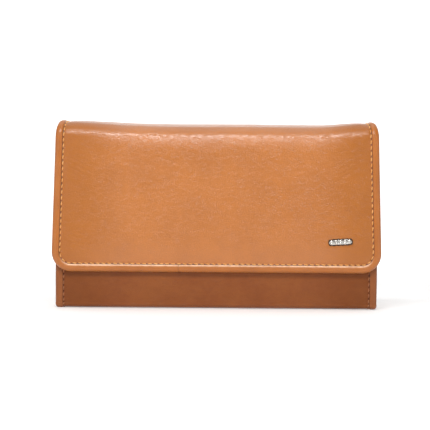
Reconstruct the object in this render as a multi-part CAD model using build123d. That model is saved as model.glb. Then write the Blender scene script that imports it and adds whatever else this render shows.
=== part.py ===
from build123d import *
import os

# Long flap wallet, standing on its folded bottom edge.  Millimetres, +Z up, +X along the
# length, the flap faces -Y.  The origin is the bottom centre of the closed wallet.
#
# One outer skin runs up the front wall, under the base, up the back wall, over the top and
# down the flap.  It is parted along its four fold lines, which are the hinges: two at the
# bottom, where the accordion of pockets fans out, and two at the top, where the flap opens.
# Between the walls stand a zipped coin pocket and the side gussets.

# ---- overall sizes
HEIGHT = 105.0            # table to the top of the edge binding
WALL_HALF = 90.75         # half width of the back wall, the top and the flap at its fold
FLAP_HALF = 92.8          # half width of the flap at its free end
FRONT_HALF = 90.0         # half width of the front wall
FLAP_END_Z = 20.5         # lower edge of the closed flap
FRONT_TOP_Z = 84.0        # open edge of the front wall
COIN_TOP_Z = 76.0         # open edge of the coin pocket
TOP_FOLD_R = 8.0          # outer radius of the two folds over the top
BASE_FOLD_R = 3.0         # outer radius of the two folds at the base
FLAP_CORNER_R = 11.0      # rounded free corners of the flap
FOLD_GAP = 0.15           # each piece stops this far from its fold's mitre plane
PIVOT_SHARE = 0.2146      # a fold's axis lies this share of its radius inside the corner,
                          # so the skin keeps its length as the fold straightens

# ---- layers
LEATHER = 1.0
BOARD = 0.6
LINING = 0.8
PANEL = LEATHER + BOARD + LINING
BINDING_PROUD = 0.5       # the edge binding stands this far off both faces of a panel
BINDING_WIDTH = 4.0
BINDING_EDGE = 1.0        # binding outside the panel's own edge
THREAD_WIDE = 0.5
THREAD_HIGH = 0.3
THREAD_OFF = 0.4          # seam to binding

# ---- the stack of walls and rooms, front to back
BADGE_PROUD = 1.0
FLAP_GAP = 0.5            # between the bindings of the flap and of the front wall
FRONT_ROOM = 5.0
COIN_WALL = 1.2
COIN_ROOM = 5.0
BACK_ROOM = 5.0
CARD_LAYER = 0.7
CARD_LAYERS = 3
DEPTH = (BADGE_PROUD + 3 * PANEL + 3 * BINDING_PROUD + FLAP_GAP + FRONT_ROOM
         + 2 * COIN_WALL + COIN_ROOM + BACK_ROOM + CARD_LAYERS * CARD_LAYER)

FLAP_Y = -DEPTH / 2 + BADGE_PROUD                      # outer face of the flap
FRONT_Y = FLAP_Y + PANEL + 2 * BINDING_PROUD + FLAP_GAP  # outer face of the front wall
COIN_FRONT_Y = FRONT_Y + PANEL + FRONT_ROOM            # outer faces of the coin pocket
COIN_BACK_Y = COIN_FRONT_Y + 2 * COIN_WALL + COIN_ROOM
CARD_Y = COIN_BACK_Y + BACK_ROOM                       # front face of the card pockets
BACK_INNER_Y = CARD_Y + CARD_LAYERS * CARD_LAYER
BACK_Y = BACK_INNER_Y + PANEL                          # outer face of the back wall
TOP_Z = HEIGHT - BINDING_PROUD                         # outer face of the top

# ---- coin pocket, gussets and card pockets
COIN_HALF = 84.0
COIN_SIDE = 1.2
GUSSET = 0.8
GUSSET_REACH = 9.5        # how far the folded gusset runs inwards
GUSSET_TOP_Z = 74.0
CARD_HALF = 86.7
CARD_FOOT_Z = 20.0
CARD_TOPS_Z = {"high": 90.0, "mid": 80.0, "low": 70.0}
TOUCH = 0.05              # hairline left between a gusset and the walls it is sewn to

# ---- zip
COIL_HALF_LENGTH = 78.0
COIL_WIDE = 1.4
COIL_HIGH = 1.4
COIL_SLOT = 0.6           # half of the gap between the two rows
COIL_EDGE = COIL_SLOT + COIL_WIDE
TAPE = 0.5
TAPE_LAP = 1.0            # the tape's inner edge, from the zip's middle
TAPE_DROP = 8.0           # sewn length inside the coin pocket
STOP_LONG = 1.6
STOP_PROUD = 0.2
SLIDER_X = 72.0           # closed end of the zip
SLIDER_HALF = 4.5
SLIDER_PLATE = 1.0
SLIDER_CLEAR = 0.3
SLIDER_FLANGE = 0.7
KEEL_HALF = 1.6           # half width of the plate that runs below the tapes
POST = (1.0, 3.4, 0.4)    # the divider between the rows: X from, X to, half thickness
LUG_HALF = 1.2
LUG_THICK = 0.8
LUG_INNER = 1.5
LUG_CROWN = 1.0           # lug above the pin's middle
PIN_R = 0.6
PIN_CLEAR = 0.08
PIN_RISE = 1.7            # pin above the slider's upper plate
LINK_EYE_R = 1.5
LINK_LONG = 6.5
LINK_HALF = 1.2
LINK_THICK = 0.9
TAB_FROM = 5.5
TAB_HALF = 2.4
TAB_THICK = 1.8
TAB_CORNER_R = 1.2
PULL_LENGTH = 17.0
PULL_REST_DEG = 6.0       # the pull droops until its tip lies on the coil
COIN_MIDDLE_Y = (COIN_FRONT_Y + COIN_BACK_Y) / 2
PLATE_LOW_Z = COIN_TOP_Z + COIL_HIGH + SLIDER_CLEAR
PLATE_HIGH_Z = PLATE_LOW_Z + SLIDER_PLATE
PIN_Z = PLATE_HIGH_Z + PIN_RISE

# ---- snap and badge
SNAP_Z = 42.0
SNAP_CAP_R = 6.0
SNAP_CAP_THICK = 0.4
SNAP_SOCKET_R = 5.2
SNAP_SOCKET_PROUD = 0.6   # the socket stands this far off the lining
SNAP_BORE_R = 2.5
SNAP_DISC_R = 5.0
SNAP_DISC_THICK = 0.5
SNAP_POST_R = 2.0
SNAP_POST_HIGH = 2.1
SNAP_RIVET_R = 1.2
SNAP_EASE = 0.1           # the holes in the board and the lining are this much larger
BADGE_X = 70.3
BADGE_Z = 38.0
BADGE_LONG = 14.0
BADGE_TALL = 3.6
BADGE_CORNER_R = 0.9
BADGE_TILT_DEG = 3.7
BADGE_BEADS = 6
BEAD_PITCH = 2.12
BEAD_R = 0.93
PRONG_R = 0.5

FAR = 60.0                # reach of the cutting shapes
DIAGONAL = FOLD_GAP * 2 ** 0.5


# ---- profiles in the YZ plane
def rounded(y_low, y_high, z_low, z_high, corners):
    """A rectangle with some corners rounded: corners is a list of (y, z, radius)."""
    face = Polygon((y_low, z_low), (y_high, z_low), (y_high, z_high), (y_low, z_high), align=None)
    for y, z, radius in corners:
        vertex = min(face.vertices(), key=lambda v: (v.X - y) ** 2 + (v.Y - z) ** 2)
        face = fillet(vertex, radius)
    return face


def arch(inset):
    """Everything under the top's outer face, less inset: the flap, the top and the back."""
    y_low, y_high, z = FLAP_Y + inset, BACK_Y - inset, TOP_Z - inset
    radius = TOP_FOLD_R - inset
    return rounded(y_low, y_high, -FAR, z, [(y_low, z, radius), (y_high, z, radius)])


def back_shape(inset):
    """Everything in front of the back wall's outer face, less inset."""
    y, z_low, z_high = BACK_Y - inset, inset, TOP_Z - inset
    corners = [(y, z_low, BASE_FOLD_R - inset), (y, z_high, TOP_FOLD_R - inset)]
    return rounded(y - FAR, y, z_low, z_high, corners)


def trough(inset):
    """Everything inside the front wall, the base and the back wall, less inset."""
    y_low, y_high, z = FRONT_Y + inset, BACK_Y - inset, inset
    radius = BASE_FOLD_R - inset
    return rounded(y_low, y_high, z, HEIGHT + FAR, [(y_low, z, radius), (y_high, z, radius)])


def mitre(y, z, inward, shift):
    """The 45 degree line through a corner of the skin: its outer and its inner point."""
    rise = REACH if z > 0 else -REACH
    return (y - inward * REACH, z + rise + shift), (y + inward * REACH, z - rise + shift)


def region(*points):
    return Polygon(*points, align=None)


REACH = 12.0              # how far the mitre lines run, in and out
TOP_FRONT_LOW, TOP_FRONT_HIGH = (mitre(FLAP_Y, TOP_Z, 1, shift) for shift in (-DIAGONAL, DIAGONAL))
TOP_BACK_LOW, TOP_BACK_HIGH = (mitre(BACK_Y, TOP_Z, -1, shift) for shift in (-DIAGONAL, DIAGONAL))
BASE_BACK_LOW, BASE_BACK_HIGH = (mitre(BACK_Y, 0, -1, shift) for shift in (-DIAGONAL, DIAGONAL))
BASE_FRONT_LOW, BASE_FRONT_HIGH = (mitre(FRONT_Y, 0, 1, shift) for shift in (-DIAGONAL, DIAGONAL))

FLAP_REGION = region(*TOP_FRONT_LOW, (FLAP_Y + REACH, -REACH), (FLAP_Y - REACH, -REACH))
TOP_REGION = region(*TOP_FRONT_HIGH, *reversed(TOP_BACK_HIGH))
BACK_REGION = region(*TOP_BACK_LOW, *reversed(BASE_BACK_HIGH))
BASE_REGION = region(*BASE_FRONT_LOW, *reversed(BASE_BACK_LOW))
FRONT_REGION = region(*BASE_FRONT_HIGH, (FRONT_Y + REACH, FRONT_TOP_Z), (FRONT_Y - REACH, FRONT_TOP_Z))


def band(shape, outer, inner, where):
    """The layer of a shape between two insets, in one region."""
    return (shape(outer) - shape(inner)) & where


def across(profile, x_low, x_high):
    """A YZ profile drawn out along X."""
    return extrude(Plane.YZ.offset(x_low) * profile, x_high - x_low)


def sheet(shape, outer, inner, where, half_width):
    return across(band(shape, outer, inner, where), -half_width, half_width)


def both_sides(shape, outer, inner, where, x_low, x_high):
    """The same strip at the left and the right edge."""
    profile = band(shape, outer, inner, where)
    return across(profile, x_low, x_high), across(profile, -x_high, -x_low)


def side_bindings(shape, where, half_width):
    """Folded leather strips that wrap the two upright edges of a panel."""
    wraps = both_sides(shape, -BINDING_PROUD, PANEL + BINDING_PROUD, where,
                       half_width - BINDING_WIDTH, half_width)
    panel = sheet(shape, 0, PANEL, where, half_width - BINDING_EDGE)
    return Compound([wrap - panel for wrap in wraps])


def side_seams(shape, where, half_width):
    """The rows of thread beside the bindings, on the outer face."""
    x_high = half_width - BINDING_WIDTH - THREAD_OFF
    return Compound(list(both_sides(shape, -THREAD_HIGH, 0, where, x_high - THREAD_WIDE, x_high)))


def block(x_low, x_high, y_low, y_high, z_low, z_high):
    size = (x_high - x_low, y_high - y_low, z_high - z_low)
    return Pos(x_low, y_low, z_low) * Box(*size, align=(Align.MIN, Align.MIN, Align.MIN))


def disc(x, y_low, y_high, z, radius):
    """A round solid along Y."""
    return Pos(x, y_low, z) * Rot(-90, 0, 0) * Cylinder(
        radius, y_high - y_low, align=(Align.CENTER, Align.CENTER, Align.MIN))


# ---- flap
def flap_prism(inset):
    """The flap's outline seen from the front, less inset, drawn out along Y."""
    fold_z = TOP_Z - TOP_FOLD_R
    half_top, half_end = WALL_HALF - inset, FLAP_HALF - inset
    end_z = FLAP_END_Z + inset
    outline = Polygon((-half_end, end_z), (half_end, end_z), (half_top, fold_z), (half_top, TOP_Z + REACH),
                      (-half_top, TOP_Z + REACH), (-half_top, fold_z), align=None)
    corners = [v for v in outline.vertices() if v.Y < end_z + 1]
    outline = fillet(corners, FLAP_CORNER_R - inset)
    return extrude(Plane.XZ * outline, FAR, both=True)


def badge_frame():
    return Pos(BADGE_X, FLAP_Y, BADGE_Z) * Rot(0, -BADGE_TILT_DEG, 0)


def prongs(radius):
    """The badge's two prongs, or the holes for them."""
    pair = [disc(x, 0, LEATHER + BOARD, 0, radius) for x in (-BADGE_LONG / 4, BADGE_LONG / 4)]
    return badge_frame() * Compound(pair)


def make_badge():
    """A plain bar with a row of round beads, held by two prongs bent over behind the leather."""
    plate = extrude(Plane.XZ * RectangleRounded(BADGE_LONG, BADGE_TALL, BADGE_CORNER_R), BADGE_PROUD / 2)
    for n in range(BADGE_BEADS):
        x = (n - (BADGE_BEADS - 1) / 2) * BEAD_PITCH
        plate += disc(x, -BADGE_PROUD, 0, 0, BEAD_R)
    return badge_frame() * plate + prongs(PRONG_R)


def binding_runs(binding):
    """The flap's binding, parted into its two side runs, with the corners, and its lower run."""
    corner_x = FLAP_HALF - FLAP_CORNER_R
    right = binding & block(corner_x, 2 * FAR, -FAR, FAR, -FAR, 3 * FAR)
    end = binding & block(-corner_x, corner_x, -FAR, FAR, -FAR, 3 * FAR)
    return right, mirror(right, Plane.YZ), end


def make_flap():
    panel = flap_prism(BINDING_EDGE)
    flap_inner_y = FLAP_Y + PANEL
    leather = sheet(arch, 0, LEATHER, FLAP_REGION, FAR * 2) & panel
    board = sheet(arch, LEATHER, LEATHER + BOARD, FLAP_REGION, FAR * 2) & panel
    lining = sheet(arch, LEATHER + BOARD, PANEL, FLAP_REGION, FAR * 2) & panel
    wrap = sheet(arch, -BINDING_PROUD, PANEL + BINDING_PROUD, FLAP_REGION, FAR * 2) & flap_prism(0)
    binding = wrap - flap_prism(BINDING_WIDTH) - (leather + board + lining)
    binding_right, binding_left, binding_end = binding_runs(binding)
    seam_edge = BINDING_WIDTH + THREAD_OFF
    seam = sheet(arch, -THREAD_HIGH, 0, FLAP_REGION, FAR * 2)
    seam = (seam & flap_prism(seam_edge)) - flap_prism(seam_edge + THREAD_WIDE)
    cap_y = FLAP_Y + LEATHER
    socket_y = cap_y + SNAP_CAP_THICK
    socket_end = flap_inner_y + SNAP_SOCKET_PROUD
    holes = prongs(PRONG_R + TOUCH)
    above_fold = block(-2 * FAR, 2 * FAR, -FAR, FAR, TOP_Z - TOP_FOLD_R, HEIGHT)
    socket = disc(0, socket_y, socket_end, SNAP_Z, SNAP_SOCKET_R)
    socket -= disc(0, socket_y, socket_end, SNAP_Z, SNAP_BORE_R)
    return {
        "flap_leather": leather - holes,
        "flap_board": board - holes - disc(0, cap_y, flap_inner_y, SNAP_Z, SNAP_CAP_R + SNAP_EASE),
        "flap_lining": lining - above_fold - disc(0, cap_y, flap_inner_y, SNAP_Z, SNAP_SOCKET_R + SNAP_EASE),
        "flap_lining_fold": lining & above_fold,
        "flap_binding_right": binding_right,
        "flap_binding_left": binding_left,
        "flap_binding_end": binding_end,
        "flap_stitching": seam,
        "snap_cap": disc(0, cap_y, socket_y, SNAP_Z, SNAP_CAP_R),
        "snap_socket": socket,
        "badge": make_badge(),
    }


# ---- top, back and front walls
def make_top():
    half = WALL_HALF - BINDING_EDGE
    return {
        "top_leather": sheet(arch, 0, LEATHER, TOP_REGION, half),
        "top_interlining": sheet(arch, LEATHER, LEATHER + BOARD, TOP_REGION, half),
        "top_lining": sheet(arch, LEATHER + BOARD, PANEL, TOP_REGION, half),
        "top_binding": side_bindings(arch, TOP_REGION, WALL_HALF),
        "top_stitching": side_seams(arch, TOP_REGION, WALL_HALF),
    }


def make_back():
    half = WALL_HALF - BINDING_EDGE
    pieces = {
        "back_leather": sheet(back_shape, 0, LEATHER, BACK_REGION, half),
        "back_board": sheet(back_shape, LEATHER, LEATHER + BOARD, BACK_REGION, half),
        "back_lining": sheet(back_shape, LEATHER + BOARD, PANEL, BACK_REGION, half),
        "back_binding": side_bindings(back_shape, BACK_REGION, WALL_HALF),
        "back_stitching": side_seams(back_shape, BACK_REGION, WALL_HALF),
    }
    for n, (level, top_z) in enumerate(CARD_TOPS_Z.items()):
        y_high = BACK_INNER_Y - n * CARD_LAYER
        pieces[f"card_pocket_{level}"] = block(-CARD_HALF, CARD_HALF, y_high - CARD_LAYER, y_high,
                                               CARD_FOOT_Z, top_z)
    return pieces


def make_front():
    half = FRONT_HALF - BINDING_EDGE
    behind_leather = FRONT_Y + LEATHER
    rivet_hole = disc(0, FRONT_Y, behind_leather, SNAP_Z, SNAP_RIVET_R + TOUCH)
    eyelet_hole = disc(0, behind_leather, behind_leather + BOARD, SNAP_Z, SNAP_DISC_R + SNAP_EASE)
    stud = disc(0, FRONT_Y - SNAP_DISC_THICK, FRONT_Y, SNAP_Z, SNAP_DISC_R)
    stud += disc(0, FRONT_Y - SNAP_POST_HIGH, FRONT_Y, SNAP_Z, SNAP_POST_R)
    stud += disc(0, FRONT_Y, behind_leather, SNAP_Z, SNAP_RIVET_R)
    return {
        "front_leather": sheet(trough, 0, LEATHER, FRONT_REGION, half) - rivet_hole,
        "front_board": sheet(trough, LEATHER, LEATHER + BOARD, FRONT_REGION, half) - eyelet_hole,
        "front_lining": sheet(trough, LEATHER + BOARD, PANEL, FRONT_REGION, half),
        "front_binding": side_bindings(trough, FRONT_REGION, FRONT_HALF),
        "front_stitching": side_seams(trough, FRONT_REGION, FRONT_HALF),
        "snap_stud": stud,
        "snap_eyelet": disc(0, behind_leather, behind_leather + BOARD, SNAP_Z, SNAP_DISC_R),
    }


# ---- core: base, coin pocket and gussets
def make_core():
    half = FRONT_HALF - BINDING_EDGE
    inner_front = COIN_FRONT_Y + COIN_WALL
    inner_back = COIN_BACK_Y - COIN_WALL
    side = block(COIN_HALF - COIN_SIDE, COIN_HALF, inner_front, inner_back, PANEL, COIN_TOP_Z)
    return {
        "base_leather": sheet(trough, 0, LEATHER, BASE_REGION, half),
        "base_board": sheet(trough, LEATHER, LEATHER + BOARD, BASE_REGION, half),
        "base_lining": sheet(trough, LEATHER + BOARD, PANEL, BASE_REGION, half),
        "coin_wall_front": block(-COIN_HALF, COIN_HALF, COIN_FRONT_Y, inner_front, PANEL, COIN_TOP_Z),
        "coin_wall_back": block(-COIN_HALF, COIN_HALF, inner_back, COIN_BACK_Y, PANEL, COIN_TOP_Z),
        "coin_pocket_sides": Compound([side, mirror(side, Plane.YZ)]),
    }


def gusset(wall_y, wall_x, coin_y):
    """A folded side gusset: a V open to the outside, from a swinging wall to the coin pocket."""
    inward = 1 if coin_y > wall_y else -1
    wall_y += inward * TOUCH
    coin_y -= inward * TOUCH
    coin_x = COIN_HALF - TOUCH
    middle_y = (wall_y + coin_y) / 2
    apex_x = wall_x - GUSSET_REACH
    slope = abs(middle_y - wall_y) / GUSSET_REACH
    skin = inward * GUSSET * (1 + slope ** 2) ** 0.5
    inner_apex_x = apex_x + abs(skin) / slope
    outline = Polygon((wall_x, wall_y), (apex_x, middle_y), (coin_x, coin_y), (coin_x, coin_y - skin),
                      (inner_apex_x, middle_y), (wall_x, wall_y + skin), align=None)
    return extrude(Plane.XY.offset(PANEL + TOUCH) * outline, GUSSET_TOP_Z - PANEL, dir=(0, 0, 1))


def make_gussets():
    front = gusset(FRONT_Y + PANEL, FRONT_HALF - BINDING_WIDTH - TOUCH, COIN_FRONT_Y)
    back = gusset(CARD_Y, WALL_HALF - BINDING_WIDTH - TOUCH, COIN_BACK_Y)
    return {
        "front_gusset_right": front,
        "front_gusset_left": mirror(front, Plane.YZ),
        "back_gusset_right": back,
        "back_gusset_left": mirror(back, Plane.YZ),
    }


# ---- zip: made about the middle of the coin pocket, then set in place
def zip_block(x_low, x_high, y_low, y_high, z_low, z_high):
    return Pos(0, COIN_MIDDLE_Y, 0) * block(x_low, x_high, y_low, y_high, z_low, z_high)


def to_front(shape):
    """The same shape on the other side of the zip."""
    return mirror(shape, Plane.XZ.offset(-COIN_MIDDLE_Y))


def zip_tape():
    """One tape: sewn inside the pocket's wall, then bent over to lie under its coil."""
    length = COIN_HALF - COIN_SIDE
    room = COIN_ROOM / 2
    hang = zip_block(-length, length, room - TAPE, room, COIN_TOP_Z - TAPE_DROP, COIN_TOP_Z)
    return hang + zip_block(-length, length, TAPE_LAP, room - TAPE, COIN_TOP_Z - TAPE, COIN_TOP_Z)


def zip_coil():
    high = COIN_TOP_Z + COIL_HIGH
    return zip_block(-COIL_HALF_LENGTH, COIL_HALF_LENGTH, COIL_SLOT, COIL_EDGE, COIN_TOP_Z, high)


def zip_stops():
    """A staple across both rows at the open end, and one on each row at the closed end."""
    low, high = COIN_TOP_Z, COIN_TOP_Z + COIL_HIGH + STOP_PROUD
    near, far = COIL_HALF_LENGTH, COIL_HALF_LENGTH + STOP_LONG
    top_stop = zip_block(near, far, COIL_SLOT, COIL_EDGE, low, high)
    return [zip_block(-far, -near, -COIL_EDGE, COIL_EDGE, low, high), top_stop, to_front(top_stop)]


def slider_body():
    wing = COIL_EDGE + SLIDER_CLEAR
    edge = wing + SLIDER_FLANGE
    flange_low = COIN_TOP_Z + SLIDER_CLEAR
    keel_high = COIN_TOP_Z - TAPE - SLIDER_CLEAR
    flange = zip_block(-SLIDER_HALF, SLIDER_HALF, wing, edge, flange_low, PLATE_LOW_Z)
    lug = zip_block(-LUG_HALF, LUG_HALF, LUG_INNER, LUG_INNER + LUG_THICK, PLATE_HIGH_Z, PIN_Z + LUG_CROWN)
    body = zip_block(-SLIDER_HALF, SLIDER_HALF, -edge, edge, PLATE_LOW_Z, PLATE_HIGH_Z)
    body += zip_block(-SLIDER_HALF, SLIDER_HALF, -KEEL_HALF, KEEL_HALF, keel_high - SLIDER_PLATE, keel_high)
    body += zip_block(POST[0], POST[1], -POST[2], POST[2], keel_high, PLATE_LOW_Z)
    for side in (flange, lug):
        body = body + side + to_front(side)
    return body - disc(0, COIN_MIDDLE_Y - edge, COIN_MIDDLE_Y + edge, PIN_Z, PIN_R)


def pull():
    """The metal link on the pin and the leather tab on the link, about the pin, lying along -X."""
    eye = disc(0, -LINK_HALF, LINK_HALF, 0, LINK_EYE_R)
    arm = block(-LINK_LONG, 0, -LINK_HALF, LINK_HALF, -LINK_THICK / 2, LINK_THICK / 2)
    link = eye + arm - disc(0, -LINK_HALF, LINK_HALF, 0, PIN_R + PIN_CLEAR)
    tab = block(-PULL_LENGTH, -TAB_FROM, -TAB_HALF, TAB_HALF, -TAB_THICK / 2, TAB_THICK / 2)
    tab = fillet(tab.edges().filter_by(Axis.Z), TAB_CORNER_R) - arm
    place = Pos(SLIDER_X, COIN_MIDDLE_Y, PIN_Z) * Rot(0, -PULL_REST_DEG, 0)
    return place * link, place * tab


def make_zip():
    tape, coil = zip_tape(), zip_coil()
    pin_half = LUG_INNER + LUG_THICK
    link, tab = pull()
    return {
        "zip_tape_back": tape,
        "zip_tape_front": to_front(tape),
        "zip_coil_back": coil,
        "zip_coil_front": to_front(coil),
        "zip_stops": Compound(zip_stops()),
        "zip_slider": Pos(SLIDER_X, 0, 0) * slider_body(),
        "slider_pin": disc(SLIDER_X, COIN_MIDDLE_Y - pin_half, COIN_MIDDLE_Y + pin_half, PIN_Z, PIN_R),
        "pull_link": link,
        "pull_tab": tab,
    }


def write(nodes):
    os.makedirs("parts", exist_ok=True)
    for name, shape in nodes.items():
        export_step(Compound(shape.solids()), f"parts/{name}.step")


def main():
    nodes = {}
    for make in (make_core, make_gussets, make_zip, make_front, make_back, make_top, make_flap):
        nodes.update(make())
    write(nodes)
    top_pivot = TOP_FOLD_R * PIVOT_SHARE
    base_pivot = BASE_FOLD_R * PIVOT_SHARE
    print("nodes", len(nodes), "depth", DEPTH)
    print("flap fold axis", FLAP_Y + top_pivot, TOP_Z - top_pivot)
    print("top fold axis", BACK_Y - top_pivot, TOP_Z - top_pivot)
    print("front wall axis", FRONT_Y + base_pivot, base_pivot)
    print("back wall axis", BACK_Y - base_pivot, base_pivot)
    print("pull axis", SLIDER_X, COIN_MIDDLE_Y, PIN_Z)


main()
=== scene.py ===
import math

import bmesh
import bpy
import numpy as np
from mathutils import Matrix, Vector


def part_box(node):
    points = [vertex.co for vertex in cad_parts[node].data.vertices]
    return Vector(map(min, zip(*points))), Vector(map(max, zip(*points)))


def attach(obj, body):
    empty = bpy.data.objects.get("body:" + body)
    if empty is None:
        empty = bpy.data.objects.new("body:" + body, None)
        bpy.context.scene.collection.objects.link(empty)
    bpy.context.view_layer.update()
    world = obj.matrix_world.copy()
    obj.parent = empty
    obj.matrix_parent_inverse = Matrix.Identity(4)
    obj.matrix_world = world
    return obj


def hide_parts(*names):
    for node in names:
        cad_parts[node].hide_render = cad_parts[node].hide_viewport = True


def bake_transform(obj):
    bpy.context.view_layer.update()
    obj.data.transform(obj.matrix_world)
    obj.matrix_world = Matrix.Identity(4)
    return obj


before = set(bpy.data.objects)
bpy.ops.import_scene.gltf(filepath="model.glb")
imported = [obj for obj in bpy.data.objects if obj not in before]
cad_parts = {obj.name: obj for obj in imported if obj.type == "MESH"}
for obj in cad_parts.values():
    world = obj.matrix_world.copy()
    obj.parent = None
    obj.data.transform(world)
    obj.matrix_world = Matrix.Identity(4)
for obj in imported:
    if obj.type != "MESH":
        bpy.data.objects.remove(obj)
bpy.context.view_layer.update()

MM = 0.001
X, Y, Z = 0, 1, 2


def low(node, axis):
    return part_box(node)[0][axis] / MM


def high(node, axis):
    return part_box(node)[1][axis] / MM


def mid(node, axis):
    return (low(node, axis) + high(node, axis)) / 2


# ---- sizes of the skin, from the frame
FLAP_Y = low("flap_leather", Y)
FRONT_Y = low("front_leather", Y)
BACK_Y = high("back_leather", Y)
TOP_Z = high("top_leather", Z)
FRONT_TOP = high("front_leather", Z)
FLAP_END = low("flap_binding_end", Z)
FRONT_HALF = high("front_binding", X)
WALL_HALF = high("top_binding", X)
FLAP_HALF = high("flap_binding_right", X)

TOP_R = 8.0               # folds over the top
BASE_R = 3.0              # folds at the base
CORNER_R = 11.0           # free corners of the flap
LEATHER = 1.0
BOARD = 0.6
PANEL = 2.4               # leather, board and lining together
MARGIN = 1.0              # binding outside the panel's own edge
SEAM_IN = 4.65            # the row of stitches, from the binding's outer edge
STITCH_AIM = 3.25         # stitch length aimed at, before it is fitted to the flap's outline

# ---- soft shape
TOP_RISE = 1.2            # the soft top stands this much above the CAD's at its ends
TOP_SAG = 1.5             # and its unsupported middle sinks this far from there
SAG_LEFT = (-82, -32)     # where along x the sag comes in
SAG_RIGHT = (84, 58)
SHOULDER = 2.6            # its front fold is this much rounder than the CAD's
SHOULDER_IN = 8           # the middle of that stretch, from the flap's upper end
PINCH = 1.2               # the top is a little narrower than the back and the flap
FRONT_EASE = 0.5          # and the front wall a little wider than the CAD's
BASE_LIFT = 0.4           # the base's leather is tucked up, so that the wallet stands on its bindings
FLAP_TUCK = 0.5           # the flap's free end lies close to the front wall
FRONT_TUCK = 1.9          # the front wall draws in towards its base
BACK_TUCK = 1.0           # and so does the back, a little
TUCK_HIGH = 24.0          # how far up those two reach
PLUMP = 0.62              # the leather stands this proud of its seam
WAVES = 0.13              # height of its broad unevenness
RIPPLES = 0.05            # and of its narrow one
FOLD_WAVES = 0.024        # height of the broad creases near the top's folds
FOLD_RIPPLES = 0.012      # and of the narrow ones
CREASES = 0.085           # height of the light creases near the corners
JOIN_X = -21.2            # where the two ends of the flap's binding meet

# ---- the skin's legs, and where each starts
LEGS = (
    ("run", FRONT_TOP - BASE_R),
    ("turn", BASE_R),
    ("run", BACK_Y - FRONT_Y - 2 * BASE_R),
    ("turn", BASE_R),
    ("run", TOP_Z - BASE_R - TOP_R),
    ("turn", TOP_R),
    ("run", BACK_Y - FLAP_Y - 2 * TOP_R),
    ("turn", TOP_R),
    ("run", TOP_Z - TOP_R - FLAP_END),
)
LENGTHS = [size if kind == "run" else size * math.pi / 2 for kind, size in LEGS]
MARKS = np.concatenate([[0.0], np.cumsum(LENGTHS)])
S_FOLD, S_BASE, S_BASE_END, S_BACK, S_BACK_END, S_TOP, S_TOP_END, S_FLAP, S_END = MARKS[1:]
S_MID_BASE = (S_BASE + S_BASE_END) / 2
S_MID_BACK = (S_BACK + S_BACK_END) / 2
S_MID_TOP = (S_TOP + S_TOP_END) / 2
S_CORNER = S_END - CORNER_R

SNAP_Z = mid("snap_stud", Z)
SNAP_R = high("snap_stud", X)
SNAP_S = FRONT_TOP - SNAP_Z              # the stud's place on the front wall
BADGE_IN = 0.9                           # the badge stands this much further in than the CAD's
BADGE_SEAT = 0.16                        # how far it presses the leather in
BADGE_X = mid("badge", X) - BADGE_IN
BADGE_Z = mid("badge", Z)
BADGE_S = S_FLAP + TOP_Z - TOP_R - BADGE_Z
BADGE_TILT = math.radians(3.7)

# Each patch of light creases: its x and s, and how it leans.
CREASE_PATCHES = (
    (-78, S_FLAP + 18, 0.45),
    (-77, S_FLAP + 58, 0.35),
    (74, S_FLAP + 16, -0.5),
    (60, S_FLAP + 44, -0.3),
)

# ---- the seam, measured along its own line from the front wall's top edge to the flap's middle
SEAM_R = CORNER_R - SEAM_IN
SEAM_BOTTOM = S_CORNER + SEAM_R * math.pi / 2
SEAM_MIDDLE = SEAM_BOTTOM + FLAP_HALF - CORNER_R
PITCH = SEAM_MIDDLE / round(SEAM_MIDDLE / STITCH_AIM)


# ---------------------------------------------------------------- shape functions
def smooth(start, end, value):
    """0 at start, 1 at end, level at both."""
    t = np.clip((value - start) / (end - start), 0, 1)
    return t * t * (3 - 2 * t)


def bell(value, width):
    """1 where value is 0, and falling away on both sides."""
    return np.exp(-(value / width) ** 2)


def ripple(x, s, wavelength, seed, waves=7):
    """Seeded smooth unevenness, about -1 to 1."""
    rng = np.random.default_rng(seed)
    total = 0
    for _ in range(waves):
        angle = rng.uniform(0, math.pi)
        length = wavelength * rng.uniform(0.7, 1.5)
        along = x * math.cos(angle) + s * math.sin(angle)
        total = total + np.sin(along * 2 * math.pi / length + rng.uniform(0, 2 * math.pi))
    return total / waves * 1.6


def xyz(x, y, z):
    """Points from three coordinates of shapes that go together."""
    return np.stack(np.broadcast_arrays(x, y, z), -1)


def skin_point(x, s, out):
    """Points in the CAD's frame, in millimetres, for arrays of skin coordinates."""
    x, s, out = np.broadcast_arrays(*(np.asarray(v, float) for v in (x, s, out)))
    y, z = np.zeros_like(s), np.zeros_like(s)
    at_y, at_z, heading = FRONT_Y, FRONT_TOP, -math.pi / 2
    for (kind, size), start in zip(LEGS, MARKS):
        along = s - start
        if kind == "run":
            leg_y = at_y + math.cos(heading) * along + math.sin(heading) * out
            leg_z = at_z + math.sin(heading) * along - math.cos(heading) * out
            at_y += math.cos(heading) * size
            at_z += math.sin(heading) * size
        else:
            centre_y = at_y - math.sin(heading) * size
            centre_z = at_z + math.cos(heading) * size
            turned = heading + along / size
            leg_y = centre_y + np.sin(turned) * (size + out)
            leg_z = centre_z - np.cos(turned) * (size + out)
            heading += math.pi / 2
            at_y = centre_y + math.sin(heading) * size
            at_z = centre_z - math.cos(heading) * size
        reached = (s >= start) | (start == 0)
        y = np.where(reached, leg_y, y)
        z = np.where(reached, leg_z, z)
    return xyz(x, y, z)


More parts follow.
